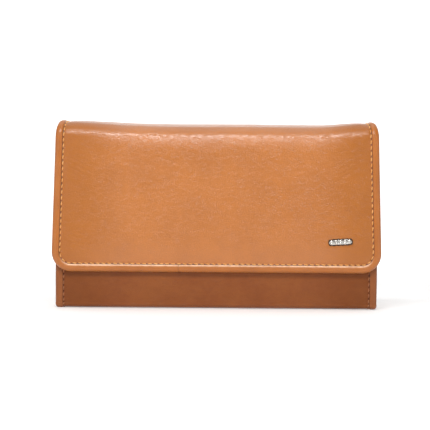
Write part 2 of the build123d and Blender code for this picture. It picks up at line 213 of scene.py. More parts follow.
def sag(x, s):
    """How far a whole panel, with all its layers, lies off the CAD's."""
    across = smooth(*SAG_LEFT, x) * smooth(*SAG_RIGHT, x)
    rounder = (0.45 + 0.55 * smooth(90, 50, np.abs(x))) * bell(s - S_FLAP + SHOULDER_IN, 9)
    over = smooth(S_TOP - 15, S_TOP + 1, s) * smooth(S_FLAP + 12, S_TOP_END + 5, s)
    under = smooth(S_BASE - 3, S_BASE, s) * smooth(S_BASE_END + 3, S_BASE_END, s)
    front = np.clip((s - S_FOLD + TUCK_HIGH) / TUCK_HIGH, 0, 1) ** 2 * smooth(S_BASE + 1, S_FOLD, s)
    back = np.clip((S_BACK + TUCK_HIGH - s) / TUCK_HIGH, 0, 1) ** 2 * smooth(S_BASE_END - 1, S_BACK, s)
    flap = smooth(S_END - 17, S_END - 3, s)
    top = TOP_RISE * over - TOP_SAG * across * over - SHOULDER * rounder
    return top - FLAP_TUCK * flap - BASE_LIFT * under - FRONT_TUCK * front - BACK_TUCK * back


def half_width(s):
    """Half the skin's width, to the binding's outer edge."""
    front = FRONT_HALF + FRONT_EASE
    wall = front + (WALL_HALF - front) * np.clip((s - S_BASE) / (S_BASE_END - S_BASE), 0, 1)
    wall = wall - PINCH * smooth(S_BACK_END - 1, S_TOP + 2, s) * smooth(S_FLAP + 1, S_TOP_END - 2, s)
    return wall + (FLAP_HALF - WALL_HALF) * np.clip((s - S_FLAP) / (S_CORNER - S_FLAP), 0, 1)


def row_half(s, margin):
    """Half the length of the row at s, for a panel that ends margin inside the binding's edge."""
    into_corner = np.clip(s - S_CORNER, 0, CORNER_R - margin)
    return half_width(s) - CORNER_R + np.sqrt((CORNER_R - margin) ** 2 - into_corner ** 2)


def seam_place(x, s):
    """(distance along the seam, distance in from the binding's outer edge)."""
    side, end = half_width(s) - np.abs(x), S_END - s
    past_side, past_end = CORNER_R - side, CORNER_R - end
    turned = np.arctan2(np.maximum(past_end, 0), np.maximum(past_side, 1e-9))
    in_corner = (past_side > 0) & (past_end > 0)
    along = np.where(side < end, s, SEAM_BOTTOM + side - CORNER_R)
    along = np.where(in_corner, S_CORNER + SEAM_R * turned, along)
    inset = np.where(in_corner, CORNER_R - np.hypot(past_side, past_end), np.minimum(side, end))
    return along, inset


def edge_curve(along, inset, side):
    """(x, s) at a distance along the seam, inset from the binding's edge, on side 1 or -1."""
    along, inset = np.broadcast_arrays(np.asarray(along, float), np.asarray(inset, float))
    turned = np.clip((along - S_CORNER) / SEAM_R, 0, math.pi / 2)
    x = FLAP_HALF - CORNER_R + (CORNER_R - inset) * np.cos(turned) - np.maximum(along - SEAM_BOTTOM, 0)
    x = np.where(along < S_CORNER, half_width(along) - inset, x)
    s = np.minimum(along, S_CORNER) + (CORNER_R - inset) * np.sin(turned)
    return side * x, s


def end_shade_and_dullness(x, s):
    """How far painted shade darkens the leather towards its two ends; the leather's coat is also made
    duller there.
    """
    return smooth(46, 3, half_width(s) - np.abs(x) + 3 * ripple(x, s, 60, 15))


def pillow(x, s):
    """The outer leather's own relief: pressed down under the binding and in the seam, plump inside it."""
    _, inset = seam_place(x, s)
    within = np.maximum(inset - SEAM_IN - 0.3, 0)
    pressed = -0.12 - 0.2 * bell(inset - SEAM_IN + 0.1, 0.5)
    plump = PLUMP * (1 - np.exp(-within / 4.5))
    uneven = (WAVES * ripple(x, s, 55, 3) + RIPPLES * ripple(x, s, 17, 5)) * smooth(0, 7, within)
    near_fold = bell(s - S_FLAP - 3, 14) + bell(s - S_TOP + 3, 14)
    creased = FOLD_WAVES * ripple(x * 0.8, s, 9, 7) + FOLD_RIPPLES * ripple(x, s * 0.7, 4.2, 9)
    creased = creased * near_fold * smooth(0, 5, within)
    for x_at, s_at, lean in CREASE_PATCHES:
        u = (x - x_at) * math.cos(lean) + (s - s_at) * math.sin(lean)
        v = (s - s_at) * math.cos(lean) - (x - x_at) * math.sin(lean)
        lines = np.sin(v * 2.7 + 0.02 * u * u) * bell(u, 7) * bell(v, 4.5)
        uneven = uneven + CREASES * lines * smooth(0, 2, within)
    at_snap = smooth(SNAP_R + 7, SNAP_R + 0.3, np.hypot(x, s - SNAP_S))
    at_base = smooth(S_BASE - 4, S_BASE - 1, s) * smooth(S_BASE_END + 4, S_BASE_END + 1, s)
    relief = (plump + uneven + creased) * (1 - at_snap) * (1 - 0.8 * at_base)
    at_badge = smooth(3.4, 1.6, np.hypot(np.maximum(np.abs(x - BADGE_X) - 5.6, 0), s - BADGE_S))
    return pressed + relief - BADGE_SEAT * at_badge


# ---------------------------------------------------------------- mesh helpers
SHARP_ANGLE = math.radians(52)


def mesh(name, points, faces, attributes=None):
    """A smooth-shaded object from points in millimetres; attributes are per point."""
    data = bpy.data.meshes.new(name)
    points = np.asarray(points, float).reshape(-1, 3)
    data.from_pydata((points * MM).tolist(), [], [list(map(int, f)) for f in faces])
    attributes = {"skin": points, **(attributes or {})}
    for key, values in attributes.items():
        layer = data.attributes.new(key, "FLOAT_VECTOR", "POINT")
        layer.data.foreach_set("vector", np.asarray(values, np.float32).ravel())
    shape = bmesh.new()
    shape.from_mesh(data)
    bmesh.ops.recalc_face_normals(shape, faces=shape.faces)
    shape.to_mesh(data)
    shape.free()
    data.shade_smooth()
    data.set_sharp_from_angle(angle=SHARP_ANGLE)
    obj = bpy.data.objects.new(name, data)
    bpy.context.scene.collection.objects.link(obj)
    return obj


def grid_faces(rows, columns, wrap=False):
    """Quads between neighbours in a grid of points stored row by row."""
    row = columns * np.arange(rows - 1)[:, None]
    column = np.arange(columns if wrap else columns - 1)
    here, beside = row + column, row + (column + 1) % columns
    return np.stack([here, beside, beside + columns, here + columns], -1).reshape(-1, 4)


def joined(parts):
    """Points, faces and attributes of several shapes as one."""
    points, faces, attributes, count = [], [], {}, 0
    for part_points, part_faces, part_attributes in parts:
        flat = np.asarray(part_points, float).reshape(-1, 3)
        points.append(flat)
        faces += [[int(i) + count for i in f] for f in part_faces]
        for key, values in part_attributes.items():
            attributes.setdefault(key, []).append(np.asarray(values, float).reshape(-1, 3))
        count += len(flat)
    return np.concatenate(points), faces, {k: np.concatenate(v) for k, v in attributes.items()}


def tube_faces(rows, columns):
    """A closed tube of rings, with a cap at each end."""
    faces = grid_faces(rows, columns, wrap=True).tolist()
    return faces + [list(range(columns)), list(range((rows - 1) * columns, rows * columns))]


def shell(outer, inner):
    """A closed sheet from two grids of points of the same shape."""
    grid = np.concatenate([outer, inner[:, ::-1]], axis=1)
    rows, columns = grid.shape[:2]
    faces = grid_faces(rows, columns, wrap=True).tolist()
    for row in (0, rows - 1):
        base = row * columns
        faces += [[base + j, base + j + 1, base + columns - 2 - j, base + columns - 1 - j]
                  for j in range(columns // 2 - 1)]
    return grid, faces, {}


def bent_sheet(path, thickness, place):
    """A sheet of even thickness along a path of (u, v) points. place(points) makes its grid of rows."""
    path = np.asarray(path, float)
    tangent = np.gradient(path, axis=0)
    tangent /= np.linalg.norm(tangent, axis=1)[:, None]
    normal = np.stack([-tangent[:, 1], tangent[:, 0]], -1) * thickness / 2
    return shell(place(path + normal), place(path - normal))


def curve_through(corners, steps_each=8):
    """A smooth curve (Catmull-Rom) through points."""
    points = np.asarray(corners, float)
    points = np.concatenate([[2 * points[0] - points[1]], points, [2 * points[-1] - points[-2]]])
    t = np.linspace(0, 1, steps_each, endpoint=False)[:, None]
    spans = []
    for a, b, c, d in zip(points, points[1:], points[2:], points[3:]):
        spans.append(0.5 * (2 * b + (c - a) * t + (2 * a - 5 * b + 4 * c - d) * t ** 2
                            + (3 * b - a - 3 * c + d) * t ** 3))
    return np.concatenate(spans + [points[-2:-1]])


def rounded_outline(corners, radius, arc_steps=5):
    """A closed outline with its corners rounded."""
    corners = [np.asarray(c, float) for c in corners]
    outline = []
    for before, here, after in zip(corners[-1:] + corners[:-1], corners, corners[1:] + corners[:1]):
        back, on = np.linalg.norm(before - here), np.linalg.norm(after - here)
        reach = min(radius, back / 2.01, on / 2.01)
        start = here + (before - here) / back * reach
        end = here + (after - here) / on * reach
        for t in np.linspace(0, 1, arc_steps):
            outline.append((1 - t) ** 2 * start + 2 * t * (1 - t) * here + t * t * end)
    return np.array(outline)


def plate(outline, low_side, high_side, edge, place):
    """A plate with rounded edges. place(u, v, w) puts its points; w runs from low_side to high_side."""
    ahead, behind = np.roll(outline, -1, axis=0), np.roll(outline, 1, axis=0)
    tangent = (ahead - behind) / np.linalg.norm(ahead - behind, axis=1)[:, None]
    inward = np.stack([-tangent[:, 1], tangent[:, 0]], -1)
    area = np.sum(outline[:, 0] * ahead[:, 1] - ahead[:, 0] * outline[:, 1])
    inward *= 1 if area > 0 else -1
    turns = np.linspace(0, math.pi / 2, 5)
    rings = [(t, low_side + edge * (1 - math.cos(t))) for t in turns]
    rings += [(t, high_side - edge * (1 - math.cos(t))) for t in turns[::-1]]
    grid = []
    for t, w in rings:
        u, v = (outline + inward * edge * (1 - math.sin(t))).T
        grid.append(place(u, v, np.full(len(u), w)))
    return np.stack(grid), tube_faces(len(rings), len(outline)), {}


def lathe(profile, x, z, sides=48):
    """A turned shape about a line along Y. profile is (radius, y), from the axis and back to it."""
    angle = np.linspace(0, 2 * math.pi, sides, endpoint=False)
    radius, y = np.asarray(profile, float).T
    grid = xyz(x + radius[:, None] * np.cos(angle), y[:, None], z + radius[:, None] * np.sin(angle))
    return grid, tube_faces(len(radius), sides), {}


def piece(name, shape, finish, moves_with, *replaced):
    """A finished piece. It moves with a body; a piece on a fold between two bodies stays where it is
    built.
    """
    obj = mesh(name, *shape)
    material, slot = finish
    obj.data.materials.append(material)
    if replaced:
        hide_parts(*replaced)
    if isinstance(moves_with, str):
        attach(obj, moves_with)
    else:
        body_a, body_b, start, end = moves_with
        [v * MM for v in start]
        [v * MM for v in end]
        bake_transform(obj)


# Each fold: its two bodies, where it starts and where it ends.
FRONT_FOLD = ("front_wall", "pocket_core", (0, FRONT_Y, BASE_R), (0, FRONT_Y + BASE_R, 0))
BACK_FOLD = ("pocket_core", "back_wall", (0, BACK_Y - BASE_R, 0), (0, BACK_Y, BASE_R))
TOP_FOLD = ("back_wall", "top", (0, BACK_Y, TOP_Z - TOP_R), (0, BACK_Y - TOP_R, TOP_Z))
FLAP_FOLD = ("top", "flap", (0, FLAP_Y + TOP_R, TOP_Z), (0, FLAP_Y, TOP_Z - TOP_R))


# ---------------------------------------------------------------- materials
class Look:
    """A new material, with short names for the nodes that make it."""

    def __init__(self, name, **values):
        self.made = bpy.data.materials.new(name)
        self.made.use_nodes = True
        self.tree = self.made.node_tree
        self.feed(**values)

    def put(self, value, socket):
        """A link from another node's output, or a plain value."""
        if isinstance(value, bpy.types.NodeSocket):
            self.tree.links.new(value, socket)
        else:
            socket.default_value = (*value, 1) if socket.type == "RGBA" else value

    def feed(self, **values):
        """Values or outputs for the Principled shader's own sockets."""
        shader = self.tree.nodes["Principled BSDF"]
        for key, value in values.items():
            self.put(value, shader.inputs[key.replace("_", " ")])

    def node(self, kind, inputs, **settings):
        """The outputs of a new shader node."""
        made = self.tree.nodes.new("ShaderNode" + kind)
        for key, value in settings.items():
            setattr(made, key, value)
        for key, value in inputs.items():
            self.put(value, made.inputs[key])
        return made.outputs

    def calc(self, operation, *values):
        return self.node("Math", dict(enumerate(values)), operation=operation)[0]

    def plus(self, first, second):
        return self.calc("ADD", first, second)

    def minus(self, first, second):
        return self.calc("SUBTRACT", first, second)

    def times(self, first, second):
        return self.calc("MULTIPLY", first, second)

    def unsigned(self, value):
        return self.calc("ABSOLUTE", value)

    def ramp(self, value, low_in, high_in, low_out=0.0, high_out=1.0):
        """value carried from one range to another, eased and held at the ends."""
        inputs = {0: value, 1: low_in, 2: high_in, 3: low_out, 4: high_out}
        return self.node("MapRange", inputs, interpolation_type="SMOOTHSTEP")[0]

    def mix(self, share, first, second):
        """Two colours mixed; share is how much there is of the second."""
        return self.node("Mix", {0: share, 6: first, 7: second}, data_type="RGBA")[2]

    def noise(self, where, scale, detail=3.0, rough=0.55):
        inputs = {"Vector": where, "Scale": scale, "Detail": detail, "Roughness": rough}
        return self.node("TexNoise", inputs)["Fac"]

    def parts(self, vector):
        return self.node("SeparateXYZ", {0: vector})

    def skin(self, key="skin"):
        """The points' skin coordinates, or another of their attributes."""
        return self.node("Attribute", {}, attribute_name=key)["Vector"]

    def solid(self):
        """Object coordinates in millimetres, for rigid pieces."""
        where = self.node("TexCoord", {})["Object"]
        return self.node("VectorMath", {0: where, 3: 1 / MM}, operation="SCALE")[0]

    def bump(self, height, strength, distance):
        """Fine relief, given to the shader and handed back."""
        inputs = {"Height": height, "Strength": strength, "Distance": distance}
        normal = self.node("Bump", inputs)[0]
        self.feed(Normal=normal)
        return normal


def shade(colour, share):
    return tuple(share * part for part in colour)


def needle_holes(look):
    """Where the needle holes and the seam's ditch are, for their painted shade, and the rim, for its
    painted shade and duller coat, from the seam attribute.
    """
    along, aside, rim_shade_and_dullness = look.parts(look.skin("seam"))
    along = look.times(look.calc("PINGPONG", along, 0.5), PITCH)
    squares = [look.calc("POWER", value, 2.0) for value in (along, look.unsigned(aside))]
    apart = look.calc("SQRT", look.plus(*squares))
    beside = look.unsigned(look.plus(aside, 0.5))
    return look.ramp(apart, 0.46, 0.24), look.ramp(beside, 0.66, 0.15), rim_shade_and_dullness


def leather(name, dark, light, deep, roughness=0.37, gloss=1.0, seam=True, crest_highlight=None):
    """Smooth calf leather: mottled dye, fine pebbled grain, pores and creases."""
    look = Look(name, Specular_IOR_Level=0.15 + 0.15 * gloss, Sheen_Weight=0.03 * gloss,
                Sheen_Roughness=0.4, Coat_Weight=gloss, Coat_Roughness=0.3, Coat_IOR=1.7)
    skin = look.skin()
    wander = look.node("TexNoise", {"Vector": skin, "Scale": 0.35, "Detail": 2.0})["Color"]
    bent = look.node("VectorMath", {0: wander, 1: (1.6, 1.6, 1.6), 2: skin}, operation="MULTIPLY_ADD")[0]
    cells = look.node("TexVoronoi", {"Vector": bent, "Scale": 1.15}, feature="DISTANCE_TO_EDGE")[0]
    fine = look.noise(skin, 3.2, 4.0)
    cloud = look.noise(skin, 0.035, 3.0, 0.5)
    patch = look.noise(skin, 0.21, 4.0, 0.6)
    stretched = look.node("Mapping", {0: bent, 3: (0.16, 0.5, 0.3)})[0]
    crease = look.unsigned(look.minus(look.noise(stretched, 1.0, 5.0, 0.6), 0.5))
    crease = look.ramp(crease, 0.02, 0.0)

    tone = look.plus(look.times(cloud, 0.65), look.times(patch, 0.35))
    colour = look.mix(look.ramp(tone, 0.36, 0.64), dark, light)
    colour = look.mix(look.ramp(cells, 0.09, 0.0, 0.0, 0.16), colour, deep)
    colour = look.mix(look.ramp(fine, 0.62, 0.8, 0.0, 0.22), colour, deep)
    colour = look.mix(look.times(crease, 0.1), colour, deep)
    height = look.plus(look.times(look.ramp(cells, 0.0, 0.22), 0.5), look.times(fine, 0.45))
    height = look.minus(height, look.times(crease, 0.6))
    if seam:
        hole, ditch, rim_shade_and_dullness = needle_holes(look)
        # Painted shade: the leather is darker towards its ends.
        colour = look.mix(look.times(rim_shade_and_dullness, 0.45), colour, shade(dark, 0.62))
        # Painted shade: the seam's ditch is darker.
        colour = look.mix(look.times(ditch, 0.95), colour, shade(deep, 0.6))
        # Painted shade: the needle holes are darker; the bump dents them as well.
        colour = look.mix(look.times(hole, 0.85), colour, shade(deep, 1.5))
        height = look.minus(height, look.times(hole, 0.8))
        # The same rim also has a duller coat.
        look.feed(Coat_Weight=look.ramp(rim_shade_and_dullness, 0.0, 1.0, gloss, 0.5 * gloss))
    # Painted highlight: a lighter streak along the binding's crest, where light catches it.
    if crest_highlight:
        streak = look.parts(look.skin("crest_highlight"))[0]
        colour = look.mix(look.times(streak, look.ramp(patch, 0.35, 0.6, 0.55, 1.0)), colour, crest_highlight)
    look.feed(Base_Color=colour, Roughness=look.plus(look.times(patch, 0.16), roughness - 0.08))
    look.feed(Coat_Normal=look.bump(height, 0.5, 0.00014))
    return look.made


def woven(name, dark, light, pitch, rigid=False):
    """Twill: yarns over and under, each step moved along by one. The lining's has the seam's holes."""
    look = Look(name, Specular_IOR_Level=0.2, Sheen_Weight=0.12, Sheen_Roughness=0.5)
    where = look.solid() if rigid else look.skin()
    across, along = [look.times(part, math.pi / pitch) for part in list(look.parts(where))[:2]]
    warp, weft = [look.unsigned(look.calc("SINE", turn)) for turn in (across, along)]
    over = look.ramp(look.calc("SINE", look.plus(across, along)), -0.25, 0.25)
    height = look.node("Mix", {0: over, 2: warp, 3: weft})[0]
    slub = look.noise(where, 0.8, 4.0)
    tone = look.plus(look.times(height, 0.7), look.times(slub, 0.45))
    colour = look.mix(look.ramp(tone, 0.15, 0.95), dark, light)
    if not rigid:
        hole, ditch, _ = needle_holes(look)
        # Painted shade in the seam's ditch and the needle holes.
        colour = look.mix(look.times(ditch, 0.3), colour, dark)
        colour = look.mix(look.times(hole, 0.85), colour, shade(dark, 0.3))
    look.feed(Base_Color=colour, Roughness=look.ramp(slub, 0.2, 0.8, 0.7, 0.86))
    look.bump(height, 0.6, 0.00012)
    return look.made


def thread(name, dark, light):
    """Waxed thread, with a little colour change from stitch to stitch."""
    look = Look(name, Specular_IOR_Level=0.4, Sheen_Weight=0.2, Sheen_Roughness=0.4)
    skin = look.skin()
    fibre = look.noise(skin, 9.0, 2.0)
    look.feed(Base_Color=look.mix(look.ramp(look.noise(skin, 0.45), 0.3, 0.7), dark, light),
              Roughness=look.ramp(fibre, 0.2, 0.8, 0.42, 0.6))
    look.bump(fibre, 0.35, 0.00006)
    return look.made


def metal(name, dark, light, roughness=0.24):
    """Plated metal with fine scratches from rubbing, and dull spots."""
    look = Look(name, Metallic=1.0)
    where = look.solid()
    streak = look.node("Mapping", {0: where, 3: (0.6, 5.0, 5.0)})[0]
    scratch = look.noise(streak, 2.5, 4.0, 0.7)
    look.feed(Base_Color=look.mix(look.ramp(look.noise(where, 0.5, 4.0), 0.3, 0.7), dark, light),
              Roughness=look.plus(look.times(scratch, 0.16), roughness - 0.08))
    look.bump(scratch, 0.2, 0.00003)
    return look.made


def fibre_board():
    """Grey-brown fibre board."""
    look = Look("fibre_board", Specular_IOR_Level=0.2)
    fibre = look.noise(look.solid(), 2.2, 6.0, 0.7)
    look.feed(Base_Color=look.mix(look.ramp(fibre, 0.3, 0.7), (0.33, 0.26, 0.19), (0.47, 0.38, 0.28)),
              Roughness=look.ramp(fibre, 0.2, 0.8, 0.8, 0.95))
    look.bump(fibre, 0.4, 0.0001)
    return look.made


def zip_nylon():
    """Smooth nylon, dyed unevenly."""
    look = Look("zip_nylon", Specular_IOR_Level=0.5)
    where = look.solid()
    look.feed(Base_Color=look.mix(look.noise(where, 0.7), (0.27, 0.105, 0.035), (0.4, 0.17, 0.06)),
              Roughness=look.ramp(look.noise(where, 4.0), 0.2, 0.8, 0.28, 0.42))
    return look.made


TAN = (0.475, 0.138, 0.004), (0.525, 0.156, 0.006), (0.17, 0.038, 0.005)
# Painted shade: the front wall's leather and binding are the same tan made darker for the shade on the
# wall.
FRONT_SHADED_TAN = (0.235, 0.06, 0.009), (0.272, 0.077, 0.013), (0.09, 0.018, 0.004)
EDGE_TAN = (0.425, 0.12, 0.006), (0.48, 0.142, 0.01), TAN[2]
FRONT_EDGE_SHADED_TAN = (0.25, 0.068, 0.01), (0.3, 0.088, 0.015), FRONT_SHADED_TAN[2]
INNER_TAN = (0.42, 0.14, 0.03), (0.52, 0.185, 0.045), (0.16, 0.045, 0.012)
# Painted highlight: the colour of the lit crest of the binding.
CREST_HIGHLIGHT_TAN = (0.95, 0.62, 0.4)

# Each finish: a material, and the slot in the record that it stands for.
SMOOTH = leather("tan_leather", *TAN), "leather"
# The front wall's leather and binding: copies with painted shade in their colour.
FRONT_SHADED_SMOOTH = leather("tan_leather_front_shaded", *FRONT_SHADED_TAN, gloss=0.2), "leather"
EDGING = leather("tan_binding", *EDGE_TAN, 0.4, 0.6, seam=False, crest_highlight=CREST_HIGHLIGHT_TAN), "leather_binding"
FRONT_SHADED_EDGING = leather("tan_binding_front_shaded", *FRONT_EDGE_SHADED_TAN, gloss=0.3, seam=False), "leather_binding"
INNER = leather("tan_inner_leather", *INNER_TAN, 0.5, 0.3, seam=False), "inner_leather"
CLOTH = woven("brown_lining", (0.11, 0.05, 0.022), (0.3, 0.155, 0.075), 0.7), "lining"
TAPE = woven("zip_tape", (0.16, 0.065, 0.022), (0.38, 0.17, 0.07), 0.45, rigid=True), "zip_tape"
THREAD = thread("tan_thread", (0.78, 0.36, 0.1), (0.92, 0.52, 0.19)), "thread"
DARK_THREAD = thread("brown_thread", (0.3, 0.1, 0.035), (0.46, 0.18, 0.07)), "thread"
NICKEL = metal("nickel", (0.6, 0.58, 0.54), (0.78, 0.76, 0.72)), "nickel"
DARK_NICKEL = metal("dark_nickel", (0.045, 0.035, 0.03), (0.09, 0.07, 0.06), 0.42), "nickel"
STIFFENER = fibre_board(), "board"
COIL = zip_nylon(), "zip_coil"


# ---------------------------------------------------------------- panels of the skin
def steps(*spans):
    """Increasing values through spans of (start, end, step), each value once."""
    values = [np.linspace(a, b, max(2, round((b - a) / step) + 1)) for a, b, step in spans]
    return np.unique(np.round(np.concatenate(values), 5))


def slab(lines, shares, relief=None):
    """A closed sheet between an outer and an inner line of (s, out) points, over the panel's width.
    relief(x, s) lifts the outer line's points by the share in their third value."""
    grids = []
    for line in lines:
        line = np.asarray(line, float)
        x = shares * row_half(line[:, :1], MARGIN)
        s = np.broadcast_to(line[:, :1], x.shape)
        out = line[:, 1:2] + sag(x, s)
        if relief and line.shape[1] > 2:
            out = out + relief(x, s) * line[:, 2:]
        grids.append((x, s, out))
    points, faces, _ = shell(*(skin_point(*grid) for grid in grids))
    x, s, out = (np.concatenate([outer, inner[:, ::-1]], axis=1) for outer, inner in zip(*grids))
    along, inset = seam_place(x, s)
    # The seam attribute: place along the seam, distance from the stitch line, and the painted shade
    # towards the ends.
    seam = xyz(along / PITCH, inset - SEAM_IN, end_shade_and_dullness(x, s))
    return points, faces, {"skin": xyz(x, s, out), "seam": seam}


def flat_lines(s, outer_out, inner_out):
    """Outer and inner lines for slab(), at constant heights."""
    ones = np.ones_like(s)
    return np.stack([s, outer_out * ones, ones], -1), np.stack([s, inner_out * ones], -1)


FRONT_EDGE_R = PANEL / 2 + 0.25          # the front wall's top edge: leather turned over the board
FRONT_EDGE_S = 1.2
FRONT_EDGE_IN = -2 * FRONT_EDGE_R + 0.1  # the turned leather's inner face
TURN_IN = 9.0                            # how far the turned edge runs down inside

# Places across a panel, from -1 to 1, and along each panel: close together by seams and folds.
PANEL_HALF = WALL_HALF - MARGIN
RIM = 8.5
RIGHT_X = steps((0, PANEL_HALF - RIM, 0.9), (PANEL_HALF - RIM, PANEL_HALF, 0.36))
SHARES = np.concatenate([-RIGHT_X[:0:-1], RIGHT_X]) / PANEL_HALF
BACK_UPPER_S = steps((S_MID_BACK, S_BACK_END - 4, 1.4), (S_BACK_END - 4, S_TOP + 3, 0.7),
                     (S_TOP + 3, S_MID_TOP, 1.0))
BACK_LOWER_S = steps((S_MID_BASE, S_BASE_END, 1.1), (S_BASE_END, S_BACK, 0.4), (S_BACK, S_MID_BACK, 1.4))
FLAP_S = steps((S_MID_TOP, S_TOP_END - 2, 1.0), (S_TOP_END - 2, S_END - 13, 0.75),
               (S_END - 13, S_END - MARGIN, 0.36))
FRONT_S = steps((FRONT_EDGE_S, S_FOLD - 2, 1.4), (S_FOLD - 2, S_BASE, 0.4), (S_BASE, S_MID_BASE, 1.1))


def front_edge_lines():
    """The front wall's leather: up the outside, round the top edge and down the inside."""
    turned = np.linspace(0, math.pi, 15)[1:-1]
    down = steps((FRONT_EDGE_S, TURN_IN, 1.3))
    outer = [(s, 0.0, 1.0) for s in FRONT_S[::-1]]
    outer += [(FRONT_EDGE_S - FRONT_EDGE_R * math.sin(t), FRONT_EDGE_IN / 2 * (1 - math.cos(t)),
               max(0.0, math.cos(t))) for t in turned]
    outer += [(s, FRONT_EDGE_IN + 0.25 * smooth(6, TURN_IN, s), 0.0) for s in down]
    inner = [(s, -LEATHER) for s in FRONT_S[::-1]]
    inner += [(FRONT_EDGE_S - 0.7 * math.sin(t), -LEATHER - (PANEL - LEATHER) / 2 * (1 - math.cos(t)))
              for t in turned]
    inner += [(s, -PANEL) for s in down]
    return outer, inner


def make_skin():
    """Leather, board and lining of each panel, parted where no fold bends them."""
    front_inside = FRONT_S[FRONT_S > FRONT_EDGE_S + 0.8]
    panels = (
        ("flap", FLAP_S, FLAP_FOLD, ("flap_leather",), ("flap_board",),
         ("flap_lining", "flap_lining_fold")),
        ("back_upper", BACK_UPPER_S, TOP_FOLD, ("top_leather",), ("top_interlining",), ("top_lining",)),
        ("back_lower", BACK_LOWER_S, BACK_FOLD, ("back_leather",), ("back_board",), ("back_lining",)),
        ("front", front_inside, FRONT_FOLD, ("front_leather", "base_leather"),
         ("front_board", "base_board"), ("front_lining", "base_lining")),
    )
    for name, s, fold, leathers, boards, linings in panels:
        front = name == "front"
        lines = front_edge_lines() if front else flat_lines(s, 0.0, -LEATHER)
        # the front wall takes the copy with painted shade
        finish = FRONT_SHADED_SMOOTH if front else SMOOTH
        piece(f"{name}_leather_skin", slab(lines, SHARES, pillow), finish, fold, *leathers)
        lines = flat_lines(s, -LEATHER, -LEATHER - BOARD)
        piece(f"{name}_stiffener", slab(lines, SHARES[::4]), STIFFENER, fold, *boards)
        lines = flat_lines(s, -LEATHER - BOARD, -PANEL)
        piece(f"{name}_lining_cloth", slab(lines, SHARES), CLOTH, fold, *linings)


# ---------------------------------------------------------------- bindings
BINDING_SEED = 20


def binding_section(proud, proud_in):
    """The binding's closed outline in (inset, out): over the outside, round the edge, up the inside."""
    back = -PANEL
    return np.array([
        (4.1, -0.3), (4.14, 0.0), (4.08, proud * 0.36), (3.9, proud * 0.64), (3.62, proud * 0.85),
        (3.25, proud * 0.97), (2.8, proud), (2.1, proud * 0.92), (1.35, proud * 0.7), (0.72, proud * 0.28),
        (0.25, -0.35), (0.03, -0.85), (0.0, -PANEL / 2), (0.03, back + 0.85), (0.25, back + 0.35),
        (0.7, back - proud_in * 0.35), (1.3, back - proud_in * 0.7), (2.0, back - proud_in * 0.92),
        (3.0, back - proud_in), (3.6, back - proud_in * 0.9), (3.95, back - proud_in * 0.55),
        (4.05, back + 0.05), (3.6, back + 0.02), (1.05, back + 0.02), (1.05, -0.1), (3.6, -0.22)])


def binding(along, side, section, free_start=False, free_end=False):
    """A folded strip along the edge, with slightly uneven height. A free end is rounded off."""
    along = np.asarray(along, float)
    ends = np.full_like(along, 9.0)
    if free_start:
        ends = np.minimum(ends, along - along[0])
    if free_end:
        ends = np.minimum(ends, along[-1] - along)
    shrink = 0.9 + 0.1 * np.sqrt(np.clip(ends / 0.5, 0, 1))
    centre = section.mean(0)
    loop = centre + (section[None] - centre) * shrink[:, None, None]
    uneven = 1 + 0.05 * ripple(along, side * 90, 14, BINDING_SEED)
    out = np.where(loop[:, :, 1] > 0, loop[:, :, 1] * uneven[:, None], loop[:, :, 1])
    x, s = edge_curve(along[:, None], loop[:, :, 0], side)
    points = skin_point(x, s, out + sag(x, s))
    round_section = np.concatenate([[0], np.cumsum(np.hypot(*np.diff(section, axis=0).T))])
    own_skin = xyz(along[:, None] + 400 * side, round_section, 0.0)
    # The crest along the flap's bottom run gets a painted highlight.
    crest = bell(section[:, 0] - 3.9, 0.5) * (section[:, 1] > -0.1)
    streak = crest * smooth(S_CORNER + 1, SEAM_BOTTOM, along)[:, None]
    return points, tube_faces(len(along), len(section)), {"skin": own_skin, "crest_highlight": xyz(streak, 0.0, 0.0)}


def make_flap_binding():
    """The flap's binding in two pieces, which meet at JOIN_X on the free edge."""
    section = binding_section(0.82, 0.5)
    half_run = steps((S_MID_TOP, S_TOP_END, 1.5), (S_TOP_END, S_FLAP + 3, 0.7),
                     (S_FLAP + 3, S_CORNER, 2.4), (S_CORNER, SEAM_BOTTOM, 0.3),
                     (SEAM_BOTTOM, SEAM_MIDDLE, 2.4))
    reach = abs(JOIN_X)
    right = np.concatenate([half_run, SEAM_MIDDLE + steps((0, reach, 2.2))[1:]])
    left_end = SEAM_MIDDLE - reach - np.array([0.9, 0.5, 0.25, 0.12])
    left = np.concatenate([half_run[half_run < SEAM_MIDDLE - reach - 1.0], left_end])
    right_shape = binding(right, 1, section, free_end=True)
    left_shape = binding(left, -1, section, free_end=True)
    piece("flap_edge_right", right_shape, EDGING, FLAP_FOLD, "flap_binding_right", "flap_binding_end")
    piece("flap_edge_left", left_shape, EDGING, FLAP_FOLD, "flap_binding_left")


def make_side_bindings():
    section = binding_section(0.4, 0.45)
    top = steps((S_MID_BACK, S_BACK_END - 3, 2.4), (S_BACK_END - 3, S_TOP + 3, 0.7),
                (S_TOP + 3, S_MID_TOP, 1.5))
    back = steps((S_MID_BASE, S_BASE_END, 1.2), (S_BASE_END, S_BACK, 0.3), (S_BACK, S_MID_BACK, 2.4))
    front = steps((-0.1, 1.0, 0.15), (1.0, S_FOLD - 2, 2.0), (S_FOLD - 2, S_BASE + 1, 0.3),
                  (S_BASE + 1, S_MID_BASE, 1.2))
    runs = (
        ("top", top, EDGING, TOP_FOLD),
        ("back", back, EDGING, BACK_FOLD),
        ("front", front, FRONT_SHADED_EDGING, FRONT_FOLD),
    )
    for name, along, finish, fold in runs:
        shape = joined([binding(along, side, section, free_start=name == "front") for side in (1, -1)])
        piece(f"{name}_edges", shape, finish, fold, f"{name}_binding")


